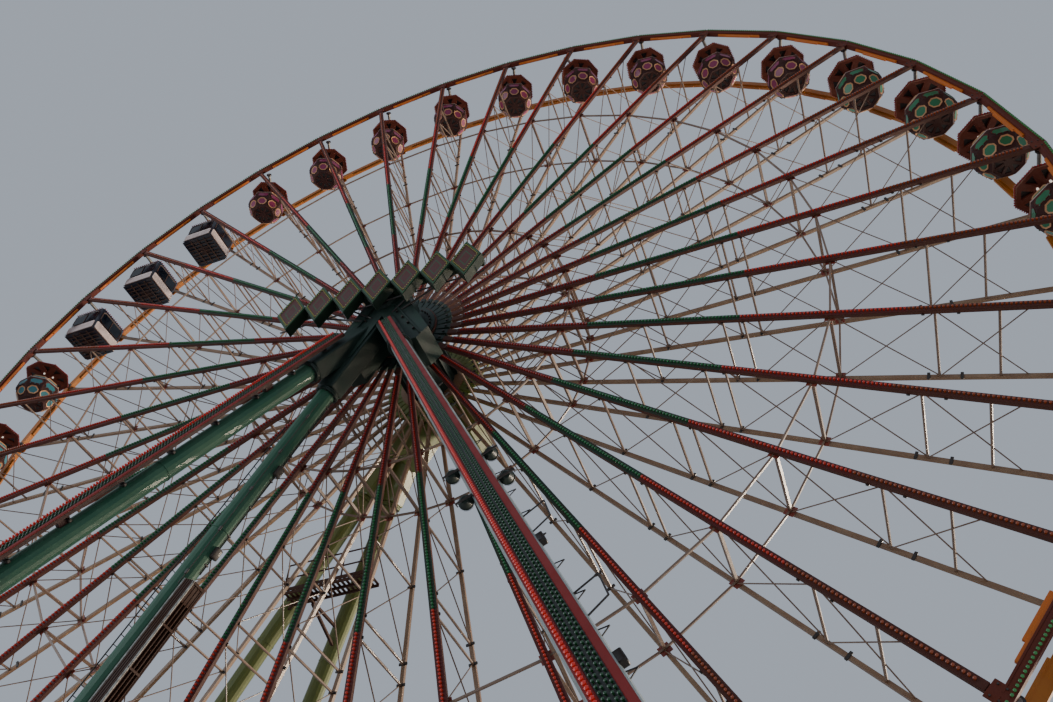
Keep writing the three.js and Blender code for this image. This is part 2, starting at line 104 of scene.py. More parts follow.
def edit(piece, wanted=None, kind="FACE"):
    """Opens a piece in edit mode with those faces, edges or points selected that are wanted."""
    take_up(piece)
    bpy.ops.object.mode_set(mode="EDIT")
    bpy.ops.mesh.select_mode(type=kind)
    bpy.ops.mesh.select_all(action="SELECT" if wanted is None else "DESELECT")
    bpy.ops.object.mode_set(mode="OBJECT")
    if wanted is not None:
        mesh = piece.data
        for part in {"FACE": mesh.polygons, "EDGE": mesh.edges, "VERT": mesh.vertices}[kind]:
            part.select = wanted(part)
    bpy.ops.object.mode_set(mode="EDIT")


def leave():
    bpy.ops.object.mode_set(mode="OBJECT")


FACING_LIMIT = 0.9


def is_top(face):
    return face.normal.z > FACING_LIMIT


def is_under(face):
    return face.normal.z < -FACING_LIMIT


def is_end(face):
    return abs(face.normal.z) > FACING_LIMIT


def is_front(face):
    return face.normal.y < -FACING_LIMIT


def is_back(face):
    return face.normal.y > FACING_LIMIT


def extrude(rise):
    bpy.ops.mesh.extrude_region_move(TRANSFORM_OT_translate={"value": (0, 0, rise * SCALE)})


def inset(thickness, depth=0.0, individual=False):
    bpy.ops.mesh.inset(thickness=thickness * SCALE, depth=depth * SCALE, use_individual=individual)


def bevel(piece, width, segments=1, wanted=None):
    """Bevels all the edges of a piece, or those that are wanted."""
    edit(piece, wanted, "EDGE" if wanted else "FACE")
    bpy.ops.mesh.bevel(offset=width * SCALE, segments=segments, affect="EDGES")
    leave()


def sink_face(piece, wanted, thickness, depth):
    """Insets faces and moves them out, or in where depth is negative."""
    edit(piece, wanted)
    inset(thickness, depth)
    leave()


def open_up(piece, wanted):
    """Takes faces off a piece."""
    edit(piece, wanted)
    bpy.ops.mesh.delete(type="FACE")
    leave()


def box(name, size, place, material, chamfer=0.0):
    """A block with chamfered edges, in real metres."""
    bpy.ops.mesh.primitive_cube_add(size=1, location=[value * SCALE for value in place])
    piece = newest(name, material)
    piece.scale = [value * SCALE for value in size]
    settle(piece)
    if chamfer:
        bevel(piece, chamfer)
    return piece


def round_bar(name, radius, length, place, material, sides, top=None):
    """An upright round bar or cone, in real metres."""
    bpy.ops.mesh.primitive_cone_add(
        vertices=sides, radius1=radius * SCALE, radius2=(radius if top is None else top) * SCALE,
        depth=length * SCALE, end_fill_type="NGON", location=[value * SCALE for value in place])
    return settle(newest(name, material))


def lay_along(piece, start, end, facing=FRONT):
    """Turns an upright piece of unit length so that it spans two points, its -Y side towards facing."""
    start, end = Vector(start), Vector(end)
    along = (end - start).normalized()
    side = facing.cross(along)
    if side.length < PARALLEL:
        side = RIGHTWARDS.copy()
    side.normalize()
    back = along.cross(side)
    turn = Matrix((side, back, along)).transposed().to_4x4()
    place = Matrix.Translation((start + end) * SCALE / 2)
    stretch = Matrix.Diagonal((1, 1, (end - start).length, 1))
    return settle(piece, place @ turn @ stretch)


def bar(name, start, end, width, depth, material, facing=FRONT, chamfer=0.0):
    """A bar of rectangular section between two points; its depth runs towards facing."""
    length = (Vector(end) - Vector(start)).length
    piece = box(name, (width, depth, length), (0, 0, 0), material, chamfer)
    piece.data.transform(Matrix.Diagonal((1, 1, 1 / length, 1)))
    return lay_along(piece, start, end, facing)


def rod(name, start, end, radius, material, sides=8, facing=FRONT):
    return lay_along(round_bar(name, radius, 1, (0, 0, 0), material, sides), start, end, facing)


def copy_at(piece, matrix, name=None):
    """A copy of a piece with its own mesh, moved by a matrix in model metres."""
    twin = bpy.data.objects.new(name or piece.name, piece.data.copy())
    twin.data.transform(matrix)
    bpy.context.scene.collection.objects.link(twin)
    return twin


def join(name, pieces):
    """Makes one piece of several."""
    deselect()
    for piece in pieces:
        piece.select_set(True)
    bpy.context.view_layer.objects.active = pieces[0]
    if len(pieces) > 1:
        bpy.ops.object.join()
    pieces[0].name = name
    return pieces[0]


def repeat(name, piece, matrices):
    """Copies a piece to each place and makes one piece of the copies; the pattern itself is thrown away."""
    copies = [copy_at(piece, matrix) for matrix in matrices]
    bpy.data.objects.remove(piece)
    return join(name, copies)


def shift(x, y, z):
    return Matrix.Translation((x * SCALE, y * SCALE, z * SCALE))


def turn(degrees, axis="Z"):
    return Matrix.Rotation(math.radians(degrees), 4, axis)


def ride(piece, body):
    """Says which body a piece moves with."""
    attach(piece, body)
    return piece


def spoke_turn(index):
    """Brings a piece modelled on an upright spoke, its hub at the origin, to a spoke of the wheel."""
    return shift(0, 0, HUB_HEIGHT) @ turn(FIRST_SPOKE + SPOKE_STEP * index, "Y")


SPOKES = [spoke_turn(index) for index in range(SPOKE_COUNT)]


def array(piece, count, step):
    """Repeats a piece in a straight row."""
    take_up(piece)
    row = piece.modifiers.new("row", "ARRAY")
    row.count = count
    row.use_relative_offset = False
    row.use_constant_offset = True
    row.constant_offset_displace = [value * SCALE for value in step]
    bpy.ops.object.modifier_apply(modifier=row.name)
    return piece


def smooth(piece, degrees=40):
    take_up(piece)
    bpy.ops.object.shade_smooth_by_angle(angle=math.radians(degrees))
    return piece


# Finishes
class Value:
    """The output of a shader node, with arithmetic that adds Math nodes."""

    def __init__(self, paint, socket):
        self.paint = paint
        self.socket = socket

    def _math(self, operation, first, second):
        return self.paint.node("ShaderNodeMath", {"operation": operation}, {0: first, 1: second})

    def __add__(self, other):
        return self._math("ADD", self, other)

    def __mul__(self, other):
        return self._math("MULTIPLY", self, other)

    def __truediv__(self, other):
        return self._math("DIVIDE", self, other)

    def __gt__(self, other):
        return self._math("GREATER_THAN", self, other)

    __radd__ = __add__


def colour(hex_code):
    """A linear colour from a paint chart's hex code."""
    parts = [int(hex_code[at:at + 2], 16) / 255 for at in (0, 2, 4)]
    linear = [part / 12.92 if part <= 0.04045 else ((part + 0.055) / 1.055) ** 2.4 for part in parts]
    return (*linear, 1.0)


class Paint:
    """A finish under construction: its material, and calls that add to it."""

    def __init__(self, name):
        self.material = bpy.data.materials.new(name)
        self.material.use_nodes = True
        self.tree = self.material.node_tree
        self.shader = self.tree.nodes["Principled BSDF"]
        self.coordinates = None

    def node(self, kind, settings=None, inputs=None, output=0):
        """Adds a node: its settings first, then the values or links of its sockets."""
        node = self.tree.nodes.new(kind)
        for key, value in (settings or {}).items():
            if key == "stops":
                ramp = node.color_ramp.elements
                while len(ramp) < len(value):
                    ramp.new(1.0)
                for stop, (position, shade) in zip(ramp, value):
                    stop.position = position
                    stop.color = shade
            elif key == "interpolation":
                node.color_ramp.interpolation = value
            else:
                setattr(node, key, value)
        for key, value in (inputs or {}).items():
            self.feed(node.inputs[key], value)
        return Value(self, node.outputs[output])

    def feed(self, socket, value):
        if isinstance(value, Value):
            self.tree.links.new(value.socket, socket)
        else:
            socket.default_value = value

    def place(self):
        if self.coordinates is None:
            self.coordinates = self.node("ShaderNodeTexCoord", output="Object")
        return self.coordinates

    def noise(self, scale, detail, roughness=0.55, stretch=None):
        place = self.place()
        if stretch:
            place = self.node("ShaderNodeMapping", inputs={"Vector": place, "Scale": stretch})
        return self.node("ShaderNodeTexNoise", inputs={
            "Vector": place, "Scale": scale, "Detail": detail, "Roughness": roughness})

    def zones(self, stops):
        """Colour that changes in steps with the distance from the hub, in real metres."""
        rows = [(reach / RIM_RADIUS, colour(shade)) for reach, shade in stops]
        return self.node("ShaderNodeValToRGB", {"stops": rows, "interpolation": "CONSTANT"},
                         {"Fac": self.from_hub() / RIM_RADIUS})

    def mask(self, value, low, high):
        """0 below low, 1 above high."""
        return self.node("ShaderNodeMapRange", inputs={
            "Value": value, "From Min": low, "From Max": high, "To Min": 0.0, "To Max": 1.0})

    def mix(self, factor, first, second):
        return self.node("ShaderNodeMix", {"data_type": "RGBA"}, {0: factor, 6: first, 7: second}, 2)

    def bump(self, height, distance, strength, below=None):
        inputs = {"Height": height, "Distance": distance, "Strength": strength}
        if below:
            inputs["Normal"] = below
        return self.node("ShaderNodeBump", inputs=inputs)

    def finish(self, **sockets):
        for key, value in sockets.items():
            self.feed(self.shader.inputs[key.replace("_", " ")], value)
        return self.material

    def from_hub(self):
        """Distance from the wheel's axis, in real metres."""
        flat = self.node("ShaderNodeVectorMath", {"operation": "MULTIPLY_ADD"}, {
            0: self.place(), 1: (1 / SCALE, 0, 1 / SCALE), 2: (0, 0, -HUB_HEIGHT)})
        return self.node("ShaderNodeVectorMath", {"operation": "LENGTH"}, {0: flat}, "Value")


def weathered(name, shade, worn, roughness=0.42, grain=9.0, coat=0.15, dirt=0.5):
    """Painted steel of one colour."""
    return finish_weathered(Paint(name), colour(shade), colour(worn), roughness, grain, coat, dirt)


def finish_weathered(paint, base, worn, roughness, grain, coat, dirt):
    """Varies a painted surface: dust in patches, runs of grime, chips and a faint orange peel."""
    patches = paint.noise(grain * 0.35, 5.0, 0.6)
    runs = paint.noise(grain, 4.0, 0.65, stretch=(1.0, 1.0, 0.18))
    specks = paint.noise(grain * 14, 3.0, 0.7)
    dusty = paint.mask(patches, 0.42, 0.78)
    grimy = paint.mask(runs, 0.55, 0.8)
    chipped = paint.mask(specks, 0.66, 0.72)
    tint = paint.mix(dusty * dirt, base, worn)
    tint = paint.mix(grimy * (dirt * 0.7), tint, colour("2b2420"))
    tint = paint.mix(chipped * (dirt * 0.8), tint, worn)
    rough = roughness + dusty * 0.22 + specks * 0.12
    peel = paint.noise(grain * 40, 2.0, 0.5)
    normal = paint.bump(peel, 0.0006, 0.5, paint.bump(specks, 0.0015, 0.5))
    return paint.finish(Base_Color=tint, Roughness=rough, Coat_Weight=coat, Normal=normal)


def lamp_glass(name, stops, glow):
    """Coloured lamp caps, of one colour or in zones: glossy, with a little light of their own."""
    paint = Paint(name)
    base = paint.zones([(0, stops), (1, stops)] if isinstance(stops, str) else stops)
    uneven = paint.noise(60, 2.0)
    tint = paint.mix(uneven * 0.5, base, colour("120806"))
    material = paint.finish(Base_Color=tint, Roughness=0.12 + uneven * 0.18, Emission_Color=base,
                            Coat_Weight=0.4)
    paint.shader.inputs["Emission Strength"].default_value = glow
    return material


def galvanised(name, shade="8d8a86", roughness=0.45):
    """Zinc-coated steel with its spangle."""
    paint = Paint(name)
    spangle = paint.node("ShaderNodeTexVoronoi", inputs={"Vector": paint.place(), "Scale": 90.0},
                         output="Distance")
    streaks = paint.noise(14, 4.0, 0.6)
    tint = paint.mix(paint.mask(streaks, 0.35, 0.75), colour(shade), colour("5b5048"))
    tint = paint.mix(spangle * 0.4, tint, colour("b9b8b4"))
    normal = paint.bump(spangle, 0.0008, 0.4)
    return paint.finish(Base_Color=tint, Roughness=roughness + streaks * 0.2, Metallic=0.55, Normal=normal)


# Colours along a chord change at these distances from the hub
RED_FROM, GREEN_FROM, SCARLET_FROM, RUSSET_FROM = 2.3, 7.4, 12.5, 17.3


def chord_finish():
    """Painted steel whose colour changes in zones along the chord."""
    paint = Paint("chord_paint")
    base = paint.zones([(0, "8d7a64"), (RED_FROM, "4a0e0a"), (GREEN_FROM, "0c2c1c"), (SCARLET_FROM, "520f0b"),
                        (RUSSET_FROM, "4c1c0c")])
    return finish_weathered(paint, base, colour("5a3426"), 0.6, 9.0, 0.0, 0.4)


chord_paint = chord_finish()
chord_steel = weathered("chord_steel", "52261a", "74503e", roughness=0.6, dirt=0.45, coat=0.0)
rear_steel = weathered("rear_steel", "86654a", "a88f74", dirt=0.6)
truss_steel = weathered("truss_steel", "7a5f4e", "a38c78", grain=12, dirt=0.55)
lamp_caps = lamp_glass("lamp_caps", [
    (0, "8c1a0c"), (GREEN_FROM, "126030"), (SCARLET_FROM, "b8260c"), (RUSSET_FROM, "8a3a10")], 0.2)
dark_steel = weathered("dark_steel", "2a2320", "574a42", dirt=0.4)
leg_green = weathered("leg_green", "245a42", "567a64", roughness=0.5, grain=5, coat=0.1)
leg_olive = weathered("leg_olive", "5f6a2c", "868a50", roughness=0.45, grain=5, coat=0.15, dirt=0.35)
leg_grey = weathered("leg_grey", "9aa6a6", "c3c9c8", roughness=0.4, grain=5, coat=0.25)
head_green = weathered("head_green", "122822", "2c443a", roughness=0.5, grain=5, coat=0.1)
rim_red = weathered("rim_red", "5c1c0a", "743c1c", roughness=0.65, dirt=0.35, coat=0.0)
rim_gold = weathered("rim_gold", "b0640e", "a87830", roughness=0.5, dirt=0.35, coat=0.1)
rim_amber = weathered("rim_amber", "c8640c", "b07828", roughness=0.5, dirt=0.25, coat=0.1)
gallery_brown = weathered("gallery_brown", "3e2010", "5c3a20", roughness=0.65, dirt=0.3, coat=0.0)
panel_red = weathered("panel_red", "820400", "5c0c06", roughness=0.5, dirt=0.3, coat=0.0)
base_grey = weathered("base_grey", "565c5b", "83827c", grain=6, dirt=0.7)
deck_grey = weathered("deck_grey", "6c7071", "94918a", grain=6, dirt=0.7, roughness=0.5)
axle_steel = galvanised("axle_steel")
canopy_brown = weathered("canopy_brown", "5e1c06", "743814", roughness=0.7, dirt=0.2, coat=0.0)
tub_brown = weathered("tub_brown", "36100a", "4e2212", roughness=0.7, dirt=0.2, coat=0.0)
bench_shell = weathered("bench_shell", "7a3324", "94584a", dirt=0.3, coat=0.3)
tub_rose = weathered("tub_rose", "4e1a12", "6a3428", roughness=0.65, dirt=0.2, coat=0.0)
frame_cream = weathered("frame_cream", "c89468", "9a6438", dirt=0.4, coat=0.1)
frame_orange = weathered("frame_orange", "a85a2c", "c08a5c", dirt=0.4, coat=0.25)
hanger_pink = weathered("hanger_pink", "b79a90", "8a6c60", dirt=0.5)
# Near-black painted shade for sunk fields, recesses and the gaps behind slats, with a little real dirt
painted_recess_shade = weathered("painted_recess_shade", "14090a", "2c1a18", dirt=0.3)
fill_magenta = weathered("fill_magenta", "84184e", "5e2030", dirt=0.35, coat=0.3)
fill_green = weathered("fill_green", "0f6c42", "1c5638", dirt=0.35, coat=0.3)
fill_teal = weathered("fill_teal", "1f6e78", "5a8a8c", dirt=0.35, coat=0.3)
cabin_blue = weathered("cabin_blue", "141828", "2a3248", roughness=0.25, coat=0.5, dirt=0.3)
cabin_red = weathered("cabin_red", "30100c", "4a2418", dirt=0.4)
cabin_brown = weathered("cabin_brown", "3a1e10", "5a3a26", dirt=0.4)
band_white = weathered("band_white", "cfbdb8", "a48c88", dirt=0.4, coat=0.3)
canopy_lamps = lamp_glass("canopy_lamps", "9a3034", 0.15)
white_lamps = lamp_glass("white_lamps", "f0e8dc", 0.8)


def window_glass(name):
    """Dark tinted glass with a faint film of dust."""
    paint = Paint(name)
    film = paint.mask(paint.noise(7, 5.0, 0.65), 0.4, 0.8)
    tint = paint.mix(film * 0.5, colour("070c16"), colour("1c2838"))
    paint.shader.inputs["IOR"].default_value = 1.35
    return paint.finish(Base_Color=tint, Roughness=0.12 + film * 0.2)


cabin_glass = window_glass("cabin_glass")


def two_tone(name, low, high, level):
    """Painted steel that changes colour at a height, in real metres."""
    paint = Paint(name)
    height = paint.node("ShaderNodeSeparateXYZ", inputs={0: paint.place()}, output="Z") / SCALE
    base = paint.mix(height > level, colour(low), colour(high))
    return finish_weathered(paint, base, colour("4a6a5a"), 0.5, 5, 0.1, 0.4)


frame_green = two_tone("frame_green", "245a42", "132a24", 23.6)
panel_side = weathered("panel_side", "38100a", "54281e", roughness=0.5, dirt=0.3, coat=0.0)
panel_dark = weathered("panel_dark", "050e0a", "101c16", dirt=0.3)
orange_lamps = lamp_glass("orange_lamps", "b81c06", 0.35)
green_lamps = lamp_glass("green_lamps", "0a4a20", 0.1)
amber_lamps = lamp_glass("amber_lamps", "8a8a3a", 0.2)
rim_lamps = lamp_glass("rim_lamps", "2f7a3c", 0.25)
lamp_lens = lamp_glass("lamp_lens", "c8d0d4", 0.1)
sign_green = weathered("sign_green", "1a4a24", "3c6a30", roughness=0.4, dirt=0.3)
sign_red = weathered("sign_red", "4a140c", "6a2c18", dirt=0.3)
sign_dark = weathered("sign_dark", "12281a", "2c4424", dirt=0.3)
chord_red = weathered("chord_red", "7c2c1e", "9a5a44", dirt=0.5)
galvanised_light = galvanised("galvanised_light", "b9bab6")
deck_plate = galvanised("deck_plate", "7c7f80", 0.5)

NODE_FINISHES = {
    "base_frame": base_grey, "boarding_deck": deck_grey, "boarding_steps": deck_grey,
    "front_left_leg": leg_green, "front_bearing_frame": frame_green, "front_right_leg": leg_grey,
    "rear_bearing_frame": leg_olive, "rear_left_leg": leg_olive, "rear_right_leg": leg_olive,
    "main_axle": axle_steel,
    "left_lamp_panel": panel_side, "right_lamp_panel": panel_side, "ladder_way": gallery_brown,
    "service_platform": gallery_brown, "sign_ornament": sign_dark, "hub_drum": head_green,
    "front_rim": rim_red, "rear_rim": rim_gold, "front_spokes": chord_steel, "rear_spokes": rear_steel,
    "inner_tie_ring": truss_steel, "outer_tie_ring": truss_steel,
}
for node, finish in NODE_FINISHES.items():
    NODES[node].data.materials.clear()
    NODES[node].data.materials.append(finish)
for node, solid in NODES.items():
    if node.startswith("gondola"):
        solid.data.materials.clear()
        solid.data.materials.append(rim_red)


# Chords: a painted plate along the front of each, with its row of lamps
PLATE_START = 2.35
PLATE_END = 22.0
PLATE_THICKNESS = 0.02
LAMP_STEP = 0.11
LAMP_COUNT = int((PLATE_END - PLATE_START - 0.2) / LAMP_STEP)
CHORD_FRONT = -PLANE_OFFSET - CHORD_DEPTH / 2
FORWARD, BACKWARD, DOWNWARD = 90, -90, 180


def lamp(name, radius, height, material, place, sides=5, tilt=FORWARD):
    """A lamp cap at a place, tilted from upright about X: a collar, a waist and a rounded head."""
    piece = round_bar(name, radius * 0.72, height * 0.5, (0, 0, height * 0.25), material, sides)
    edit(piece, is_top)
    extrude(height * 0.28)
    bpy.ops.transform.resize(value=(1.35, 1.35, 1))
    extrude(height * 0.22)
    bpy.ops.transform.resize(value=(0.45, 0.45, 1))
    leave()
    open_up(piece, is_under)
    return settle(smooth(piece, 60), shift(*place) @ turn(tilt, "X"))


def chord_dressing():
    plate = bar("plate", (0, 0, PLATE_START), (0, 0, PLATE_END), CHORD_WIDTH + 0.02, PLATE_THICKNESS,
                chord_paint, chamfer=0.008)
    settle(plate, shift(0, CHORD_FRONT - PLATE_THICKNESS / 2 - 0.004, 0))
    bulb = lamp("bulb", 0.042, 0.08, lamp_caps, (0, CHORD_FRONT - PLATE_THICKNESS, PLATE_START + 0.15), 6)
    row = array(bulb, LAMP_COUNT, (0, 0, LAMP_STEP))
    pieces = [repeat("front_chord_plates", plate, SPOKES)]
    for third in range(3):
        twin = copy_at(row, Matrix(), "row")
        pieces.append(repeat(f"chord_lamps_{third + 1}", twin, SPOKES[third * 12:third * 12 + 12]))
    bpy.data.objects.remove(row)
    for piece in pieces:
        ride(piece, "wheel")


# Web of each spoke: posts from the front chord to the rear one, crossed rods between them
WEB_FRONT = -PLANE_OFFSET + CHORD_DEPTH / 2
WEB_REAR = PLANE_OFFSET - CHORD_DEPTH / 2
POST_RADII = (19.6, 18.0, 12.65, 12.0, 9.4, 3.6)
BAYS = ((20.3, 18.0), (18.0, OUTER_RING), (OUTER_RING, 12.65), (12.0, 9.4), (9.4, INNER_RING),
        (INNER_RING, 3.6))


def spoke_web():
    pieces = []
    for radius in POST_RADII:
        pieces.append(rod("post", (0, WEB_FRONT, radius), (0, WEB_REAR, radius), 0.04, truss_steel, 8, UP))
    for outer, inner in BAYS:
        for start, end in ((outer, inner), (inner, outer)):
            side = 0.03 if start > end else -0.03
            ends = (side, WEB_FRONT, start), (side, WEB_REAR, end)
            pieces.append(rod("diagonal", *ends, 0.02, truss_steel, 6))
    web = smooth(join("web", pieces))
    ride(repeat("spoke_web", web, SPOKES), "wheel")


chord_dressing()
spoke_web()


# Open gondolas, measured from the pivot
GONDOLA_SIDES = 8
SIDE_TURNS = [turn(45 * side) for side in range(GONDOLA_SIDES)]
HALF_SIDE = math.cos(math.pi / GONDOLA_SIDES)
HALF_STEP = 22.5


def octagon(name, bottom, top, low, high, material):
    """An eight-sided prism or taper, its flats across X and Y, between two heights."""
    piece = round_bar(name, bottom, high - low, (0, 0, (low + high) / 2), material, GONDOLA_SIDES, top=top)
    return settle(piece, turn(HALF_STEP))


def add_look(piece, material):
    """Gives the selected faces a finish of their own, in edit mode."""
    if material.name not in piece.data.materials:
        piece.data.materials.append(material)
    piece.active_material_index = piece.data.materials.find(material.name)
    bpy.ops.object.material_slot_assign()


def edge_along(piece, edge):
    first, second = (piece.data.vertices[index].co for index in edge.vertices)
    return (second - first).normalized()


def plaque(name, width, height, frame_look, fill_look, corner, border, thickness=0.03):
    """An upright framed panel that faces -Y, with cut corners and a sunk field."""
    piece = box(name, (width, thickness, height), (0, 0, 0), frame_look)
    bevel(piece, corner, wanted=lambda edge: abs(edge_along(piece, edge).y) > FACING_LIMIT)
    edit(piece, is_front)
    inset(border, -thickness * 0.6)
    add_look(piece, fill_look)
    leave()
    return piece


CANOPY_RADIUS = 1.02
CANOPY_LOW = -0.52
CANOPY_EDGE = -0.43
CANOPY_PEAK = -0.29
EDGE_LAMPS = 8


def canopy():
    """The roof of a gondola: a shallow cone with ribs, eight sunk fields below and lamps round its edge."""
    roof = octagon("canopy", CANOPY_RADIUS, CANOPY_RADIUS, CANOPY_LOW, CANOPY_EDGE, canopy_brown)
    edit(roof, is_top)
    inset(0.03, 0.015)
    extrude(CANOPY_PEAK - CANOPY_EDGE - 0.015)
    bpy.ops.transform.resize(value=(0.13, 0.13, 1))
    leave()
    edit(roof, is_under)
    inset(0.05, -0.02)
    bpy.ops.mesh.poke()
    inset(0.13, 0.0, True)
    inset(0.012, -0.05, True)
    # The sunk fields under the roof are painted near-black as painted shade
    add_look(roof, painted_recess_shade)
    leave()
    seam = bar("seam", (0, -0.14, CANOPY_PEAK + 0.005), (0, -CANOPY_RADIUS, CANOPY_EDGE + 0.012), 0.045, 0.03,
               frame_cream, UP)
    seam = repeat("seam", settle(seam, turn(HALF_STEP)), SIDE_TURNS)
    run = 2 * CANOPY_RADIUS * math.sin(math.pi / GONDOLA_SIDES)
    flat = CANOPY_RADIUS * HALF_SIDE
    place = -run / 2 + 0.05, -flat, (CANOPY_LOW + CANOPY_EDGE) / 2
    edge_lamp = lamp("edge", 0.034, 0.044, canopy_lamps, place)
    lamps = array(edge_lamp, EDGE_LAMPS, ((run - 0.1) / (EDGE_LAMPS - 1), 0, 0))
    lamps = repeat("lamps", lamps, SIDE_TURNS)
    glow = lamp("glow", 0.05, 0.06, white_lamps, (0, -0.3, CANOPY_LOW + 0.01), 6, DOWNWARD)
    glow = repeat("glow", glow, [turn(HALF_STEP + 90 * quarter) for quarter in range(4)])
    boss = octagon("boss", 0.16, 0.2, CANOPY_LOW - 0.05, CANOPY_LOW + 0.03, canopy_brown)
    cap = round_bar("cap", 0.15, 0.09, (0, 0, CANOPY_PEAK + 0.03), hanger_pink, 16, top=0.09)
    return [roof, seam, lamps, glow, boss, smooth(cap)]


TUB_LIP = -1.45
TUB_KNEE = -1.9
TUB_BASE = -2.4
TUB_RADIUS = 0.955
BASE_RADIUS = 0.585
BENCH_TOP = -1.88


def tub(fill_look):
    """The body of a gondola: a tapered octagonal shell with framed panels, a bench and a floor."""
    shell = octagon("tub", BASE_RADIUS, TUB_RADIUS, TUB_BASE, TUB_KNEE, tub_brown)
    edit(shell, is_top)
    extrude(TUB_LIP - TUB_KNEE)
    inset(0.06)
    extrude(BENCH_TOP - TUB_LIP)
    add_look(shell, bench_shell)
    inset(0.38)
    extrude(-0.34)
    leave()
    edit(shell, is_under)
    inset(0.05, -0.015)
    bpy.ops.mesh.poke()
    inset(0.055, 0.0, True)
    inset(0.01, -0.03, True)
    # The sunk fields under the floor are painted near-black as painted shade
    add_look(shell, painted_recess_shade)
    leave()
    side = 2 * TUB_RADIUS * math.sin(math.pi / GONDOLA_SIDES)
    flat = TUB_RADIUS * HALF_SIDE
    upper = plaque("upper", side - 0.1, 0.36, tub_rose, fill_look, 0.12, 0.05)
    settle(upper, shift(0, -flat - 0.005, (TUB_LIP + TUB_KNEE) / 2))
    taper = math.degrees(math.atan2((TUB_RADIUS - BASE_RADIUS) * HALF_SIDE, TUB_KNEE - TUB_BASE))
    lower = plaque("lower", side - 0.24, 0.4, frame_cream, fill_look, 0.14, 0.05)
    middle = (TUB_RADIUS + BASE_RADIUS) / 2 * HALF_SIDE
    settle(lower, shift(0, -middle - 0.03, (TUB_KNEE + TUB_BASE) / 2 + 0.02) @ turn(taper, "X"))
    dot = lamp("dot", 0.03, 0.03, fill_look, (-0.2, -flat - 0.004, TUB_KNEE + 0.04), 6)
    dots = array(dot, 3, (0.2, 0, 0))
    back = plaque("back", side - 0.14, 0.26, frame_cream, fill_look, 0.07, 0.03, 0.05)
    settle(back, shift(0, -flat + 0.09, TUB_LIP + 0.11) @ turn(-8, "X"))
    face = repeat("faces", join("face", [upper, lower, dots]), SIDE_TURNS)
    backs = repeat("backs", back, SIDE_TURNS[1:])
    rail = rod("rail", (-side / 2, -flat + 0.03, TUB_LIP + 0.03), (side / 2, -flat + 0.03, TUB_LIP + 0.03),
               0.03, hanger_pink, 8, UP)
    rails = smooth(repeat("rails", rail, SIDE_TURNS))
    return [shell, face, backs, rails]


AXLE_END = 1.19


def pivot_axle():
    """The axle between the two rims, with a collar at each end."""
    axle = rod("axle", (0, -AXLE_END, 0), (0, AXLE_END, 0), 0.075, axle_steel, 12, UP)
    ends = [rod("end", (0, side * 1.13, 0), (0, side * 1.185, 0), 0.14, dark_steel, 12, UP)
            for side in (-1, 1)]
    return [axle, *ends]


def gondola_fittings():
    """The pole with its wheel, and the axle."""
    pole = round_bar("pole", 0.07, 2.3, (0, 0, -1.15), hanger_pink, 12)
    head = box("head", (0.2, 0.26, 0.2), (0, 0, -0.02), hanger_pink, 0.03)
    bpy.ops.mesh.primitive_torus_add(major_radius=0.24 * SCALE, minor_radius=0.022 * SCALE, major_segments=20,
                                     minor_segments=6, location=(0, 0, -1.5 * SCALE))
    ring = settle(newest("ring", axle_steel))
    spoke = rod("spoke", (0, 0, -1.52), (0, -0.24, -1.5), 0.014, axle_steel, 6, UP)
    wheel_spokes = repeat("wheel_spokes", spoke, [turn(120 * third) for third in range(3)])
    foot = round_bar("foot", 0.16, 0.08, (0, 0, -2.25), hanger_pink, 12, top=0.07)
    return [smooth(piece) for piece in (pole, *pivot_axle(), head, ring, wheel_spokes, foot)]


def pivot(index):
    angle = math.radians(FIRST_SPOKE + SPOKE_STEP * index)
    return Matrix.Translation(Vector((
        PIVOT_RADIUS * math.sin(angle), 0, HUB_HEIGHT + PIVOT_RADIUS * math.cos(angle))) * SCALE)


def hang(pattern, index, kind, swing=0.0):
    """Hangs a copy of a pattern from its pivot, in place of the plain gondola there."""
    body = f"gondola_{index + 1:02d}"
    piece = copy_at(pattern, pivot(index) @ turn(swing), f"{kind}_{body}")
    ride(piece, body)
    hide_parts(body)


CLOSED = (1, 2, 3)
GREEN_ONES = tuple(range(13, 22))
TEAL_ONES = (0, *range(28, 36))
SIDE_ON = (16, 34)
SWING = 22


def open_gondolas():
    patterns = {}
    for name, fill_look in (("magenta", fill_magenta), ("green", fill_green), ("teal", fill_teal)):
        patterns[name] = join("gondola_" + name, [*canopy(), *tub(fill_look), *gondola_fittings()])
    for index in range(SPOKE_COUNT):
        if index in CLOSED:
            continue
        family = "green" if index in GREEN_ONES else "teal" if index in TEAL_ONES else "magenta"
        swing = 0 if index in SIDE_ON else draw.uniform(-SWING, SWING)
        hang(patterns[family], index, "open", swing)
    for pattern in patterns.values():
        bpy.data.objects.remove(pattern)


def sink(share, depth=0.0):
    """Draws the selected level face towards the Z axis to a share of its size, or moves it up by depth."""
    extrude(depth)
    bpy.ops.transform.resize(value=(share, share, 1), center_override=(0, 0, 0))


# Closed cabins
CABIN_HALF = 0.885
CABIN_TOP = -0.4
CABIN_BASE = -2.13
WINDOW_LEVEL, BAND_LEVEL = -1.03, -1.76
CABIN_TURNS = [turn(90 * side) for side in range(4)]


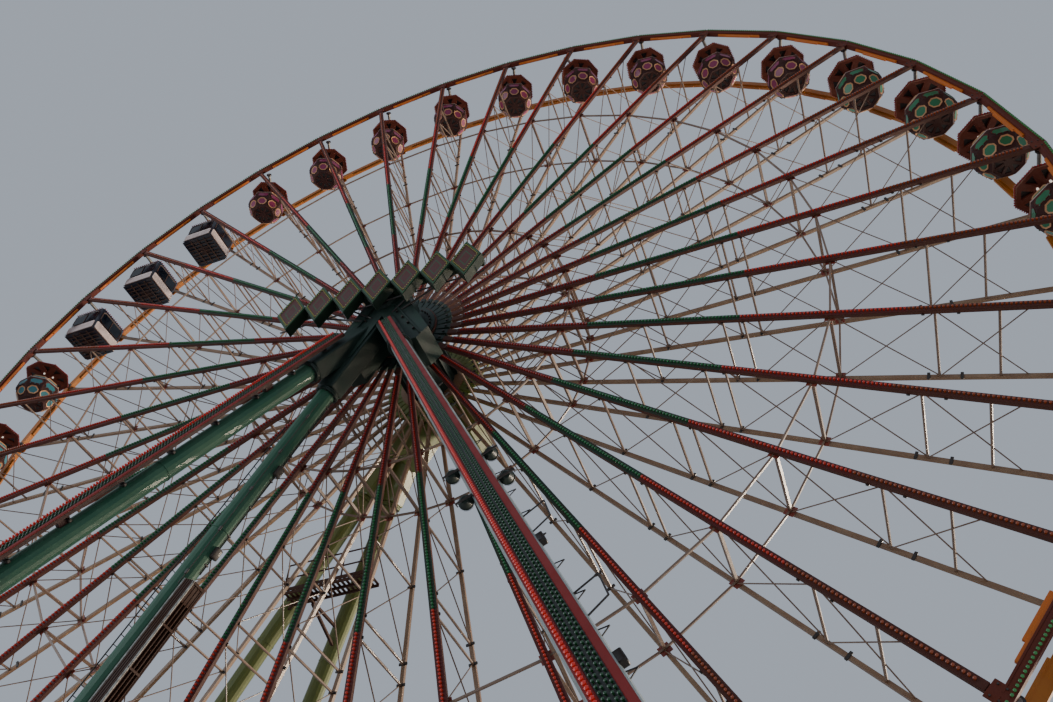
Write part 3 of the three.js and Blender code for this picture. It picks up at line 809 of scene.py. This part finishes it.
def closed_cabin():
    """A square cabin: dark shell with windows all round, a pale band below them and a patterned underside,
    its recessed ring near-black as painted shade.
    """
    middle = (CABIN_TOP + CABIN_BASE) / 2 - 0.04
    shell = box("shell", (CABIN_HALF * 2 - 0.06, CABIN_HALF * 2 - 0.06, CABIN_TOP - CABIN_BASE - 0.12),
                (0, 0, middle), cabin_blue)
    bevel(shell, 0.12, 2, lambda edge: abs(edge_along(shell, edge).z) > FACING_LIMIT)
    edit(shell, is_top)
    inset(0.1, 0.07)
    inset(0.3, 0.04)
    leave()
    edit(shell, is_under)
    sink(0.92)
    sink(1, 0.03)
    add_look(shell, cabin_red)
    sink(0.8)
    sink(1, 0.03)
    # The recessed ring is painted near-black as painted shade
    add_look(shell, painted_recess_shade)
    sink(0.42)
    sink(1, -0.03)
    add_look(shell, cabin_red)
    leave()
    span = CABIN_HALF * 2 - 0.2
    slat = box("slat", (span, 0.05, 0.025), (0, -0.62, CABIN_BASE + 0.015), cabin_brown, 0.006)
    slats = array(slat, 7, (0, 0.2067, 0))
    cross = box("cross", (0.06, span, 0.03), (-0.4, 0, CABIN_BASE + 0.02), cabin_brown, 0.006)
    crosses = array(cross, 3, (0.4, 0, 0))
    wide = CABIN_HALF * 2 - 0.34
    wall = -CABIN_HALF + 0.01
    window = plaque("window", wide, 0.76, cabin_brown, cabin_glass, 0.12, 0.05, 0.04)
    settle(window, shift(0, wall, WINDOW_LEVEL))
    mullion = box("mullion", (0.05, 0.05, 0.7), (0, wall, WINDOW_LEVEL), cabin_brown, 0.01)
    band = plaque("band", wide + 0.14, 0.5, band_white, band_white, 0.06, 0.05, 0.04)
    settle(band, shift(0, wall, BAND_LEVEL))
    trim = box("trim", (wide + 0.2, 0.03, 0.05), (0, wall, CABIN_BASE + 0.07), cabin_brown, 0.008)
    walls = repeat("walls", join("wall", [window, mullion, band, trim]), CABIN_TURNS)
    eaves_lamp = lamp("lamps", 0.034, 0.05, canopy_lamps, (-0.75, -CABIN_HALF + 0.03, -0.5))
    lamps = repeat("lamps", array(eaves_lamp, 13, (0.125, 0, 0)), CABIN_TURNS)
    hanger = box("hanger", (0.16, 0.3, 0.44), (0, 0, -0.22), hanger_pink, 0.03)
    axle, *ends = pivot_axle()
    smooth(axle)
    rib = bar("rib", (-0.6, -0.6, -0.4), (0.6, 0.6, -0.4), 0.05, 0.05, frame_orange, UP)
    ribs = repeat("ribs", rib, [Matrix(), turn(90)])
    return join("closed_cabin", [shell, walls, lamps, hanger, axle, *ends, ribs, slats, crosses])


def closed_cabins():
    pattern = closed_cabin()
    for index in CLOSED:
        hang(pattern, index, "closed")
    bpy.data.objects.remove(pattern)


open_gondolas()
closed_cabins()


# Stand: each leg runs from its top to its foot
LEG_RADIUS = 0.3
LEGS = {
    "front_left": ((-0.69, -2.6, 26), (-11.95, -12.4, 0.5)),
    "front_right": ((0.05, -2.6, 26), (11.66, -12.4, 0.5)),
    "front_inner_left": ((-0.38, -2.6, 26), (-12.42, -3.6, 0.5)),
    "front_inner_right": ((0.1, -2.6, 26), (11.3, -3.6, 0.5)),
    "rear_left": ((-1.05, 2.6, 26), (-12.78, 9, 0.5)),
    "rear_right": ((0.2, 2.6, 26), (10.5, 9, 0.5)),
    "rear_inner_left": ((-1.55, 2.6, 26), (-15.91, 3.2, 0.5)),
    "rear_inner_right": ((0.2, 2.6, 26), (11, 3.2, 0.5)),
}
ARM_END = 3.3
JOINT_SHARE, WELD_SHARE = 0.8, 0.32
FLANGE_BOLTS = 12
PLATE_HEIGHT = 0.53
WEB_PLACE = (0.42, 0, 0.72)


def leg_look(which):
    """The slot and the finish of a leg."""
    if which == "front_right":
        return "leg_grey", leg_grey
    return ("leg_green", leg_green) if which.startswith("front") else ("leg_olive", leg_olive)


def leg_length(which):
    top, foot = LEGS[which]
    return (Vector(foot) - Vector(top)).length


def leg_space(which, facing=FRONT):
    """Brings a piece from leg space, Z down the leg and Y to its facing side, to its leg."""
    top, foot = (Vector(point) for point in LEGS[which])
    along = (foot - top).normalized()
    front = (facing - along * facing.dot(along)).normalized()
    turned = Matrix((front.cross(along), front, along)).transposed().to_4x4()
    return Matrix.Translation(top * SCALE) @ turned


def stand_piece(name, pieces, matrix=None, soft=True):
    """Makes one piece of the stand's fittings; soft smooths their round faces."""
    piece = join(name, [smooth(part) for part in pieces] if soft else pieces)
    if matrix:
        settle(piece, matrix)
    return ride(piece, "stand")


def ring_of(piece, count, turned=0.0):
    """Copies a piece in a ring round the Z axis."""
    return repeat(piece.name, piece, [turn(turned + 360 / count * step) for step in range(count)])


def flange(name, at, material, radius):
    """A bolted joint: two collars back to back, with hexagon bolts."""
    collars = [round_bar(name, radius, 0.05, (0, 0, at + side * 0.03), material, 28) for side in (-1, 1)]
    for collar in collars:
        bevel(collar, 0.008)
    bolt = round_bar("bolt", 0.026, 0.17, (radius - 0.055, 0, at), dark_steel, 6)
    return [*(smooth(collar) for collar in collars), ring_of(bolt, FLANGE_BOLTS)]


def leg_fittings(which):
    """Box arm from the head, bolted joints, foot plate with its webs and bolts."""
    slot, look = leg_look(which)
    length = leg_length(which)
    arm_look = head_green if which.startswith("front") else leg_olive
    arm = round_bar("arm", 0.52, ARM_END - 0.2, (0, 0, ARM_END / 2), arm_look, 4, top=0.47)
    settle(arm, turn(45))
    bevel(arm, 0.05, 2)
    parts = [arm, *flange("collar", ARM_END, arm_look, 0.4)]
    parts += flange("joint", JOINT_SHARE * length, look, 0.37)
    weld = round_bar("weld", LEG_RADIUS + 0.014, 0.04, (0, 0, WELD_SHARE * length), look, 24)
    parts.append(smooth(weld))
    stand_piece(f"{which}_leg_fittings", parts, leg_space(which), soft=False)
    foot = Vector(LEGS[which][1])
    plate = round_bar("plate", 0.72, 0.06, (foot.x, foot.y, PLATE_HEIGHT), base_grey, 8)
    sink_face(plate, is_top, 0.05, 0.02)
    bolt = round_bar("bolt", 0.04, 0.1, (0.6, 0, 0.6), dark_steel, 6)
    bolts = settle(ring_of(bolt, 8, 11), shift(foot.x, foot.y, 0))
    web = box("web", (0.26, 0.03, 0.34), WEB_PLACE, base_grey)
    across, _, middle = (value * SCALE for value in WEB_PLACE)
    edit(web, lambda vertex: vertex.co.x > across and vertex.co.z > middle, "VERT")
    bpy.ops.transform.resize(value=(0.35, 1, 1), center_override=(across - 0.13 * SCALE, 0, middle))
    leave()
    webs = settle(ring_of(web, 6, 20), shift(foot.x, foot.y, 0))
    stand_piece(f"{which}_foot", [plate, bolts, webs], soft=False)


# Lamp panels on the two outer front legs
PANEL_FACE = 0.6
PANEL_SHARES = (0.05, 0.93)
GREEN_COLUMNS = (-0.088, -0.036, 0.036, 0.088)
GREEN_STEP, ORANGE_STEP = 0.11, 0.09
EDGE_STRIP = 0.178
CLAMP_STEP = 1.65


def lamp_panel(which):
    length = leg_length(which)
    start, end = (share * length for share in PANEL_SHARES)
    middle, reach = (start + end) / 2, end - start - 0.04
    field = box("field", (0.25, 0.016, reach), (0, PANEL_FACE + 0.008, middle), panel_dark)
    edges = [box("edge", (0.114, 0.034, reach), (side * EDGE_STRIP, PANEL_FACE + 0.017, middle), panel_red,
                 0.01) for side in (-1, 1)]
    lowest = start + 0.1
    bulb = lamp("bulb", 0.038, 0.06, orange_lamps, (-EDGE_STRIP, PANEL_FACE + 0.034, lowest), tilt=BACKWARD)
    row = array(bulb, int(reach / ORANGE_STEP), (0, 0, ORANGE_STEP))
    columns = []
    for number, x in enumerate(GREEN_COLUMNS):
        place = x, PANEL_FACE + 0.016, lowest + GREEN_STEP / 2 * (number % 2)
        cap = lamp("cap", 0.025, 0.045, green_lamps, place, tilt=BACKWARD)
        columns.append(array(cap, int(reach / GREEN_STEP), (0, 0, GREEN_STEP)))
    seam = array(box("seam", (0.46, 0.012, 0.012), (0, PANEL_FACE - 0.105, start + 1), dark_steel),
                 int(reach / 2), (0, 0, 2))
    stand_piece(f"{which}_panel_lamps", [field, *edges, row, *columns, seam],
                leg_space(which), soft=False)
    clamps = []
    for step in range(int(reach / CLAMP_STEP)):
        at = start + 0.9 + CLAMP_STEP * step
        clamps.append(box("bracket", (0.16, 0.16, 0.14), (0, 0.43, at), dark_steel, 0.02))
        clamps.append(box("lug", (0.3, 0.1, 0.1), (0, LEG_RADIUS + 0.03, at), dark_steel, 0.02))
    stand_piece(f"{which}_panel_clamps", clamps, leg_space(which), soft=False)


def flood_lamp(place, tilt):
    """A bell-shaped lamp in a yoke."""
    bell = round_bar("bell", 0.15, 0.22, (0, 0, 0), head_green, 16, top=0.07)
    edit(bell, is_under)
    inset(0.018)
    inset(0.004, -0.05)
    add_look(bell, lamp_lens)
    leave()
    ring = round_bar("ring", 0.162, 0.03, (0, 0, -0.1), dark_steel, 16)
    open_up(ring, is_end)
    yoke = [bar("yoke", (side * 0.17, 0, -0.02), (side * 0.17, 0, 0.16), 0.02, 0.04, dark_steel)
            for side in (-1, 1)]
    yoke.append(bar("yoke", (-0.18, 0, 0.16), (0.18, 0, 0.16), 0.04, 0.02, dark_steel, UP))
    lamp_piece = join("flood", [smooth(bell), ring, *yoke])
    return settle(lamp_piece, shift(*place) @ turn(tilt, "X"))


FLOOD_SHARES = (0.5, 0.545)
FLOOD_TILT = -40
ARM_SHARES = (0.6, 0.69, 0.83)
SWITCH_SHARES = (0.63, 0.745)
IRON_COUNT, FIRST_IRON, IRON_STEP = 20, 9, 0.95


def right_leg_fittings():
    """Flood lamps in pairs, triangular arms, step irons, switch boxes and a conduit."""
    length = leg_length("front_right")
    parts = []
    for share in FLOOD_SHARES:
        at = share * length
        for side in (-1, 1):
            parts.append(flood_lamp((side * 0.44, 0.1, at), FLOOD_TILT))
            ends = (side * 0.2, 0.08, at - 0.12), (side * 0.5, 0.08, at - 0.12)
            parts.append(bar("outrigger", *ends, 0.05, 0.05, dark_steel, UP))
    for share in ARM_SHARES:
        at = share * length
        corners = [(0.2, 0.06, at), (0.72, 0.1, at - 0.05), (0.66, 0.1, at + 0.5), (0.2, 0.06, at + 0.62)]
        parts += [rod("arm", *ends, 0.016, dark_steel, 6) for ends in zip(corners, corners[1:])]
    for step in range(IRON_COUNT):
        at = FIRST_IRON + step * IRON_STEP
        knee = (0.45, 0.02, at + 0.08)
        parts += [rod("iron", (0.2, 0.02, at), knee, 0.011, dark_steel, 6),
                  rod("iron", knee, (0.2, 0.02, at + 0.24), 0.011, dark_steel, 6)]
    for share in SWITCH_SHARES:
        switch = box("switch_box", (0.16, 0.14, 0.24), (0.32, 0.04, share * length), dark_steel, 0.015)
        sink_face(switch, is_back, 0.02, -0.01)
        parts.append(switch)
    conduit = [rod("conduit", (-0.2, 0.235, 3.6), (-0.2, 0.235, length - 0.4), 0.022, dark_steel)]
    saddle = box("saddle", (0.1, 0.05, 0.05), (-0.2, 0.235, 4), dark_steel, 0.008)
    parts += conduit + [array(saddle, int((length - 5) / 1.4), (0, 0, 1.4))]
    stand_piece("right_leg_lamps_and_irons", parts, leg_space("front_right"))


LADDER_HALF, LADDER_Y, RUNG_STEP = 0.17, -0.46, 0.3


def inner_leg_fittings():
    """A fixed ladder on the left of the inner leg; conduits, boxes and a hoist rail on its right."""
    length = leg_length("front_inner_left")
    parts = []
    for x in (-LADDER_HALF, LADDER_HALF):
        parts.append(rod("stringer", (x, LADDER_Y, 5), (x, LADDER_Y, length - 1), 0.02, dark_steel))
    rung = rod("rung", (-LADDER_HALF, LADDER_Y, 5.2), (LADDER_HALF, LADDER_Y, 5.2), 0.012, dark_steel, 6, UP)
    parts.append(array(rung, int((length - 6.4) / RUNG_STEP), (0, 0, RUNG_STEP)))
    stay = rod("stay", (0, -0.25, 6), (LADDER_HALF, LADDER_Y, 6), 0.014, dark_steel, 6)
    parts.append(array(stay, 9, (0, 0, 2.4)))
    for x in (0.1, 0.17):
        parts.append(rod("conduit", (x, 0.27, 3.5), (x, 0.27, 10.4), 0.018, dark_steel))
    clip = box("clip", (0.16, 0.05, 0.05), (0.135, 0.28, 3.8), dark_steel, 0.008)
    parts.append(array(clip, 7, (0, 0, 1.05)))
    for at in (6.6, 9.7):
        cover = box("junction_box", (0.26, 0.12, 0.34), (0.12, 0.34, at), dark_steel, 0.015)
        sink_face(cover, is_back, 0.03, 0.012)
        parts.append(cover)
    hoist = [rod("hoist_rail", (-0.3, 0.32, 4), (-0.3, 0.32, 11), 0.012, dark_steel, 6)]
    hook = box("hoist_eye", (0.05, 0.1, 0.16), (-0.3, 0.3, 4.6), dark_steel, 0.015)
    parts += hoist + [array(hook, 5, (0, 0, 1.5))]
    stand_piece("inner_leg_ladder_and_boxes", parts,
                leg_space("front_inner_left", RIGHTWARDS))


# Ladder way: the slatted tray on the inner left leg
WAY_SHARES = (0.382, 0.95)
WAY_HALF = 0.23
WAY_NEAR, WAY_OUTER = 0.36, 0.76
CROSSBAR_STEP = 1.3


def way_fittings():
    """Tubes along the tray's edges, crossbars, and slats below and beside it."""
    length = leg_length("front_inner_left")
    start, end = (share * length for share in WAY_SHARES)
    parts = []
    for x in (-WAY_HALF, WAY_HALF):
        for y in (WAY_NEAR, WAY_OUTER):
            look = galvanised_light if x < 0 else gallery_brown
            parts.append(rod("edge_tube", (x, y, start), (x, y, end), 0.034, look))
    crossbar = box("crossbar", (WAY_HALF * 2 + 0.06, 0.035, 0.07), (0, WAY_OUTER + 0.012, start + 0.05),
                   gallery_brown, 0.008)
    parts.append(array(crossbar, int((end - start) / CROSSBAR_STEP) + 1, (0, 0, CROSSBAR_STEP)))
    face = WAY_OUTER + 0.006
    for x in (-0.185, -0.065, 0.065, 0.185):
        parts.append(bar("slat", (x, face, start), (x, face, end), 0.03, 0.02, gallery_brown))
    # A dark plate beside the tray, behind the side slats, is painted shade for the gaps between them
    side = -WAY_HALF - 0.004
    middle = (WAY_NEAR + WAY_OUTER) / 2
    parts.append(bar("side_gap_shade", (side, middle, start), (side, middle, end), 0.008, WAY_OUTER - WAY_NEAR,
                     painted_recess_shade))
    face = side - 0.01
    for y in (0.43, 0.515, 0.605, 0.69):
        parts.append(bar("side_slat", (face, y, start), (face, y, end), 0.02, 0.05, gallery_brown))
    stand_piece("ladder_way_slats", parts,
                leg_space("front_inner_left", RIGHTWARDS))


# Service platform
PLATFORM_X = (-5.2, -1.9)
PLATFORM_Y = (1.8, 2.55)
PLATFORM_FLOOR = 19.0
PLATFORM_RAILS = (19.55, 20.08)
BOARD_COUNT, BOARD_STEP = 19, 0.177
CARRIERS = (((-5.1, 2.4, 18.86), (-5.6, 2.76, 18.86)), ((-4.38, 2.3, 18.86), (-4.38, 4.38, 18.86)),
            ((-4.38, 2.5, 18.8), (-4.5, 4.5, 18.2)))


def service_platform():
    """A railed floor of boards on beams, carried from the rear leg."""
    left, right = PLATFORM_X
    near, far = PLATFORM_Y
    reach, middle, centre = right - left, (left + right) / 2, (near + far) / 2
    look = gallery_brown
    parts = []
    for y in (near + 0.03, centre, far - 0.03):
        parts.append(box("beam", (reach, 0.05, 0.11), (middle, y, PLATFORM_FLOOR - 0.065), look, 0.01))
    board = box("board", (0.1, far - near, 0.025), (left + 0.06, centre, PLATFORM_FLOOR), look, 0.006)
    parts.append(array(board, BOARD_COUNT, (BOARD_STEP, 0, 0)))
    rail_y = near + 0.04
    low, high = PLATFORM_FLOOR - 0.1, PLATFORM_RAILS[1] + 0.02
    for x in (left + 0.04, left + reach / 3, left + reach * 2 / 3, right - 0.04):
        parts.append(rod("post", (x, rail_y, low), (x, rail_y, high), 0.03, look, 10))
    for height in PLATFORM_RAILS:
        parts.append(rod("rail", (left, rail_y, height), (right, rail_y, height), 0.028, look, 10, UP))
    parts.append(box("toe_board", (reach, 0.02, 0.14), (middle, near + 0.02, PLATFORM_FLOOR + 0.08), look,
                     0.005))
    for start, end in CARRIERS:
        parts.append(bar("carrier", start, end, 0.1, 0.1, look, UP, 0.01))
    piece = stand_piece("railed_service_platform", parts)
    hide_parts("service_platform")


# Ornament in front of the hub
LOZENGE_X = [(number - 3) * 1.15 for number in range(7)]
LOZENGE_HALF = (0.56, 1.01)
LOZENGE_FACE = -3.74
LOZENGE_THICKNESS = 0.03
BULBS_A_SIDE = 9


def ornament():
    """Seven lozenges with framed faces and bulbs, on two rails."""
    face = round_bar("lozenge", 1, LOZENGE_THICKNESS, (0, 0, 0), sign_green, 4)
    settle(face, Matrix.Diagonal((*LOZENGE_HALF, 1, 1)))
    settle(face, shift(0, LOZENGE_FACE - LOZENGE_THICKNESS / 2, HUB_HEIGHT) @ turn(90, "X"))
    edit(face, is_front)
    inset(0.05)
    inset(0.012, -0.02)
    add_look(face, sign_red)
    inset(0.2)
    add_look(face, sign_green)
    inset(0.035)
    add_look(face, sign_red)
    leave()
    parts = [face]
    for x_sign, z_sign in ((1, 1), (1, -1), (-1, 1), (-1, -1)):
        for step in range(BULBS_A_SIDE):
            share = (step + 0.5) / BULBS_A_SIDE
            place = (x_sign * 0.47 * share, LOZENGE_FACE - 0.022, HUB_HEIGHT + z_sign * 0.82 * (1 - share))
            parts.append(lamp("bulb", 0.026, 0.035, amber_lamps, place))
    parts.append(box("hanger", (0.07, 0.3, 0.07), (0, -3.5, HUB_HEIGHT + 0.95), dark_steel, 0.01))
    piece = repeat("ornament_faces", join("pattern", parts), [shift(x, 0, 0) for x in LOZENGE_X])
    rail = [rod("stay", (-4.02, -3.34, HUB_HEIGHT + side * 0.5), (4.02, -3.34, HUB_HEIGHT + side * 0.5), 0.03,
                dark_steel, 8, UP) for side in (-1, 1)]
    struts = [rod("strut", (x, -3.3, HUB_HEIGHT), (x * 0.25, -3.05, HUB_HEIGHT - 0.9), 0.035, dark_steel)
              for x in (-3, -1.6, 1.6, 3)]
    carrier = [smooth(part) for part in rail + struts]
    stand_piece("ornament_lamps", [piece, *carrier], soft=False)


# Hub: bolted rings, roots of the chords, bearing covers
HUB_BOLTS = 36
SHOE_RADIUS = 1.62


def hub_fittings():
    """Bolted rings at both ends of the drum, a shoe and pin at the root of each chord, and ribs."""
    parts = []
    for side, look in ((-1, head_green), (1, leg_olive)):
        y = side * PLANE_OFFSET
        ring = round_bar("ring", 1.3, 0.06, (0, 0, 0), look, 36)
        sink_face(ring, is_end, 0.12, -0.01)
        parts.append(settle(smooth(ring), shift(0, y + side * 0.17, HUB_HEIGHT) @ turn(90, "X")))
        bolt = round_bar("bolt", 0.035, 0.08, (1.12, 0, 0), dark_steel, 6)
        bolts = ring_of(bolt, HUB_BOLTS)
        parts.append(settle(bolts, shift(0, y + side * 0.22, HUB_HEIGHT) @ turn(90, "X")))
        shoe = box("shoe", (0.24, 0.16, 0.62), (0, y, SHOE_RADIUS), look, 0.02)
        ends = (0, y - 0.12, SHOE_RADIUS + 0.13), (0, y + 0.12, SHOE_RADIUS + 0.13)
        pin = rod("pin", *ends, 0.045, dark_steel, 8, UP)
        parts.append(repeat("shoes", join("shoe", [shoe, pin]), SPOKES))
    rib = box("rib", (0.05, 2.3, 0.2), (0, 0, 1.0), head_green)
    parts.append(repeat("ribs", rib, [shift(0, 0, HUB_HEIGHT) @ turn(30 * step, "Y") for step in range(12)]))
    ride(join("hub_fittings", parts), "wheel")


HEAD_FACE = 3.1


def head_fittings():
    """Covers and bolts on the fronts of the two bearing heads."""
    for side, name, look, slot in ((-1, "front", head_green, "leg_green"),
                                   (1, "rear", leg_olive, "leg_olive")):
        cover = round_bar("cover", 0.5, 0.16, (0, 0, 0), look, 24, top=0.44)
        sink_face(cover, is_top, 0.12, 0.05)
        bolts = ring_of(round_bar("bolt", 0.035, 0.1, (0.42, 0, 0.06), dark_steel, 6), 10)
        parts = [smooth(cover), bolts]
        for x in (-1, 1):
            ends = (x * 0.4, -0.35, -0.02), (x * 1.66, -2.6, -0.02)
            parts.append(bar("rib", *ends, 0.07, 0.09, look, UP, 0.015))
            for step in range(4):
                along, down = x * (0.62 + step * 0.25), -0.98 - step * 0.42
                parts.append(rod("bolt", (along, down, -0.06), (along, down, 0.03), 0.04, dark_steel, 6))
        stand_piece(f"{name}_bearing_cover", parts,
                    shift(0, side * HEAD_FACE, HUB_HEIGHT) @ turn(-90 * side, "X"), soft=False)


# Rims: plates at the corners, stepped panels, lamps along the front
RIM_DEPTH = 0.26
RIM_WIDTH = 0.22
RIM_LAMPS, RIM_LAMP_STEP = 34, 0.113
CLEAT_RADII = (12.0, 12.65, 17.7, 9.4, 18.6)
SEGMENT = 2 * RIM_RADIUS * math.sin(math.radians(SPOKE_STEP / 2))
FLAT_RADIUS = RIM_RADIUS * math.cos(math.radians(SPOKE_STEP / 2))
SEGMENTS = [shift(0, 0, HUB_HEIGHT) @ turn(FIRST_SPOKE + SPOKE_STEP * (index + 0.5), "Y")
            for index in range(SPOKE_COUNT)]


def rim_fittings(name, side, plate_look, step_look):
    """Each segment is modelled upright over the hub, then copied round."""
    y = side * PLANE_OFFSET
    inner = FLAT_RADIUS - RIM_DEPTH
    lamp_line = FLAT_RADIUS - 0.07
    face = y + side * RIM_WIDTH / 2
    parts = [box("step", (2.3, 0.1, 0.08), (0, y, inner - 0.035), step_look, 0.01),
             box("step", (1.3, 0.08, 0.08), (0, y, inner - 0.105), step_look, 0.01),
             box("lip", (SEGMENT - 0.12, 0.03, 0.05), (0, face, inner + 0.03), plate_look, 0.006)]
    if side < 0:
        bulb = lamp("bulb", 0.04, 0.07, rim_lamps, (-1.86, face, lamp_line))
        parts.append(array(bulb, RIM_LAMPS, (RIM_LAMP_STEP, 0, 0)))
        parts.append(box("strip", (SEGMENT - 0.1, 0.02, 0.08), (0, face - 0.004, lamp_line), rim_red, 0.006))
    rim_piece = repeat(f"{name}_segments", join("segment", parts), SEGMENTS)
    gusset = box("gusset", (0.46, 0.03, 0.4), (0, face - side * 0.01, RIM_RADIUS - 0.28), plate_look, 0.01)
    bolts = [rod("bolt", (x, face, z), (x, face + side * 0.03, z), 0.025, dark_steel, 6, UP)
             for x in (-0.15, 0.15) for z in (RIM_RADIUS - 0.2, RIM_RADIUS - 0.38)]
    corners = repeat("corners", join("corner", [gusset, *bolts]), SPOKES)
    ride(join(f"{name}_fittings", [rim_piece, corners]), "wheel")


def node_plates():
    """Gussets where the ties meet the chords, and cleats beside the chords."""
    parts = []
    for side in (-1, 1):
        y, inward = side * PLANE_OFFSET, side * -0.09
        for radius in (INNER_RING, OUTER_RING):
            parts.append(box("gusset", (0.34, 0.024, 0.3), (0, y + inward, radius), chord_red, 0.01))
        for radius in CLEAT_RADII:
            parts.append(box("cleat", (0.27, 0.05, 0.09), (0, y + inward * 0.7, radius), dark_steel, 0.012))
    ride(repeat("chord_plates", join("plates", parts), SPOKES), "wheel")


# Base, boarding deck and steps
DECK_X = 6.6
DECK_Y = (-6.6, 2.4)
DECK_TOP = 2.0
SILL_ROWS = (-12.4, -3.6, 3.2, 9.0)
SILL_SIDE = 11.8
PLANKS, PLANK_STEP = 31, 0.29
STEP_COUNT = 9
TREAD_X, TREAD_WIDTH, TREAD_STEP = 3.2, 4.8, 0.3


def rail_run(start, end, posts, height=1.02, thick=0.03, facing=UP):
    """A handrail of posts, a knee rail and a top rail between two floor points."""
    start, end = Vector(start), Vector(end)
    parts = []
    for number in range(posts):
        foot = start.lerp(end, number / (posts - 1))
        parts.append(rod("post", foot, foot + Vector((0, 0, height)), thick, deck_grey, 8))
    for level in (0.5, height):
        lift = Vector((0, 0, level))
        parts.append(rod("rail", start + lift, end + lift, 0.028, deck_grey, 8, facing))
    return parts


def deck_fittings():
    """Planks, fascia, joists and handrails of the boarding deck."""
    near, far = DECK_Y
    plank = box("plank", (DECK_X * 2 - 0.04, 0.27, 0.03), (0, near + 0.15, DECK_TOP + 0.008), deck_plate,
                0.006)
    parts = [array(plank, PLANKS, (0, PLANK_STEP, 0))]
    parts.append(box("fascia", (DECK_X * 2, 0.03, 0.24), (0, near + 0.014, DECK_TOP - 0.12), deck_grey,
                     0.006))
    edge, front, rear = DECK_X - 0.06, near + 0.06, far - 0.06
    for side in (-1, 1):
        x = side * edge
        parts += rail_run((x, front, DECK_TOP), (x, -1.75, DECK_TOP), 5)
        parts += rail_run((x, rear, DECK_TOP), (side * 1.2, rear, DECK_TOP), 5)
    parts += rail_run((-edge, front, DECK_TOP), (0.75, front, DECK_TOP), 6)
    parts += rail_run((5.65, front, DECK_TOP), (edge, front, DECK_TOP), 2)
    joist = box("joist", (0.1, far - near - 0.2, 0.14), (-5.9, (near + far) / 2, 1.73), base_grey, 0.01)
    parts.append(array(joist, 9, (1.475, 0, 0)))
    stand_piece("deck_planks_and_rails", parts)


def step_fittings():
    """Treads with their nosings, and a handrail on each side of the flight."""
    near = DECK_Y[0]
    parts = []
    for number in range(1, STEP_COUNT + 1):
        top = DECK_TOP * (1 - number / (STEP_COUNT + 1))
        y = near - TREAD_STEP * number
        parts.append(box("tread", (TREAD_WIDTH, 0.3, 0.03), (TREAD_X, y + 0.145, top + 0.012), deck_plate,
                         0.006))
        parts.append(box("nosing", (TREAD_WIDTH, 0.03, 0.05), (TREAD_X, y + 0.012, top + 0.004), frame_orange,
                         0.008))
    for x in (0.84, 5.56):
        parts += rail_run((x, near - 2.6, 0.25), (x, near - 0.1, DECK_TOP), 4, 0.98, 0.028, FRONT)
    stand_piece("step_treads_and_rails", parts)


def base_fittings():
    """Stiffeners along the sills, and bolted splice plates where they cross."""
    row = array(box("rib", (0.03, 0.84, 0.42), (-10.9, 0, 0.25), base_grey), 15, (1.5, 0, 0))
    parts = [repeat("ribs", row, [shift(0, y, 0) for y in SILL_ROWS])]
    row = array(box("rib", (0.84, 0.03, 0.42), (0, -11.2, 0.25), base_grey), 13, (0, 1.55, 0))
    parts.append(repeat("ribs", row, [shift(x, 0, 0) for x in (-SILL_SIDE, 0, SILL_SIDE)]))
    for y in SILL_ROWS:
        bolt = round_bar("bolt", 0.035, 0.05, (0.45, 0, 0.55), dark_steel, 6)
        parts += [box("splice", (1.1, 1.1, 0.03), (0, y, 0.515), base_grey, 0.01),
                  settle(ring_of(bolt, 8, 22.5), shift(0, y, 0))]
    stand_piece("sill_stiffeners", parts, soft=False)


for leg_name in LEGS:
    leg_fittings(leg_name)
lamp_panel("front_left")
lamp_panel("front_right")
right_leg_fittings()
inner_leg_fittings()
way_fittings()
service_platform()
ornament()
hub_fittings()
head_fittings()
rim_fittings("front_rim", -1, rim_red, rim_amber)
rim_fittings("rear_rim", 1, rim_gold, rim_gold)
node_plates()
deck_fittings()
step_fittings()
base_fittings()


# Floor and light
FLOOR_SIZE = 600


def stage():
    bpy.ops.mesh.primitive_plane_add(size=FLOOR_SIZE, location=(0, 0, 0))
    paint = Paint("floor_paint")
    soft = paint.noise(0.6, 3.0)
    floor = newest("floor", paint.finish(
        Base_Color=paint.mix(soft, colour("d6d5d2"), colour("cdccc9")), Roughness=0.75 + soft * 0.1))


def studio_light(name, place, aim, size, power, tint):
    data = bpy.data.lights.new(name, "AREA")
    data.shape = "DISK"
    data.size = size
    data.energy = power
    data.color = tint
    light = bpy.data.objects.new(name, data)
    light.location = place
    light.rotation_euler = (Vector(aim) - Vector(place)).to_track_quat("-Z", "Y").to_euler()
    bpy.context.scene.collection.objects.link(light)


def studio_sky(tint, strength):
    world = bpy.data.worlds.new("studio")
    world.use_nodes = True
    background = world.node_tree.nodes["Background"]
    background.inputs["Color"].default_value = tint
    background.inputs["Strength"].default_value = strength
    bpy.context.scene.world = world


stage()
studio_light("low_side_light", (58, 64, 14.5), (2, 0, 12), 26, 92000, (1.0, 0.84, 0.66))
studio_light("front_fill", (-24, -26, 20), (0, 0, 12), 22, 3500, (0.9, 0.95, 1.0))
studio_sky((0.68, 0.76, 0.88, 1), 0.55)
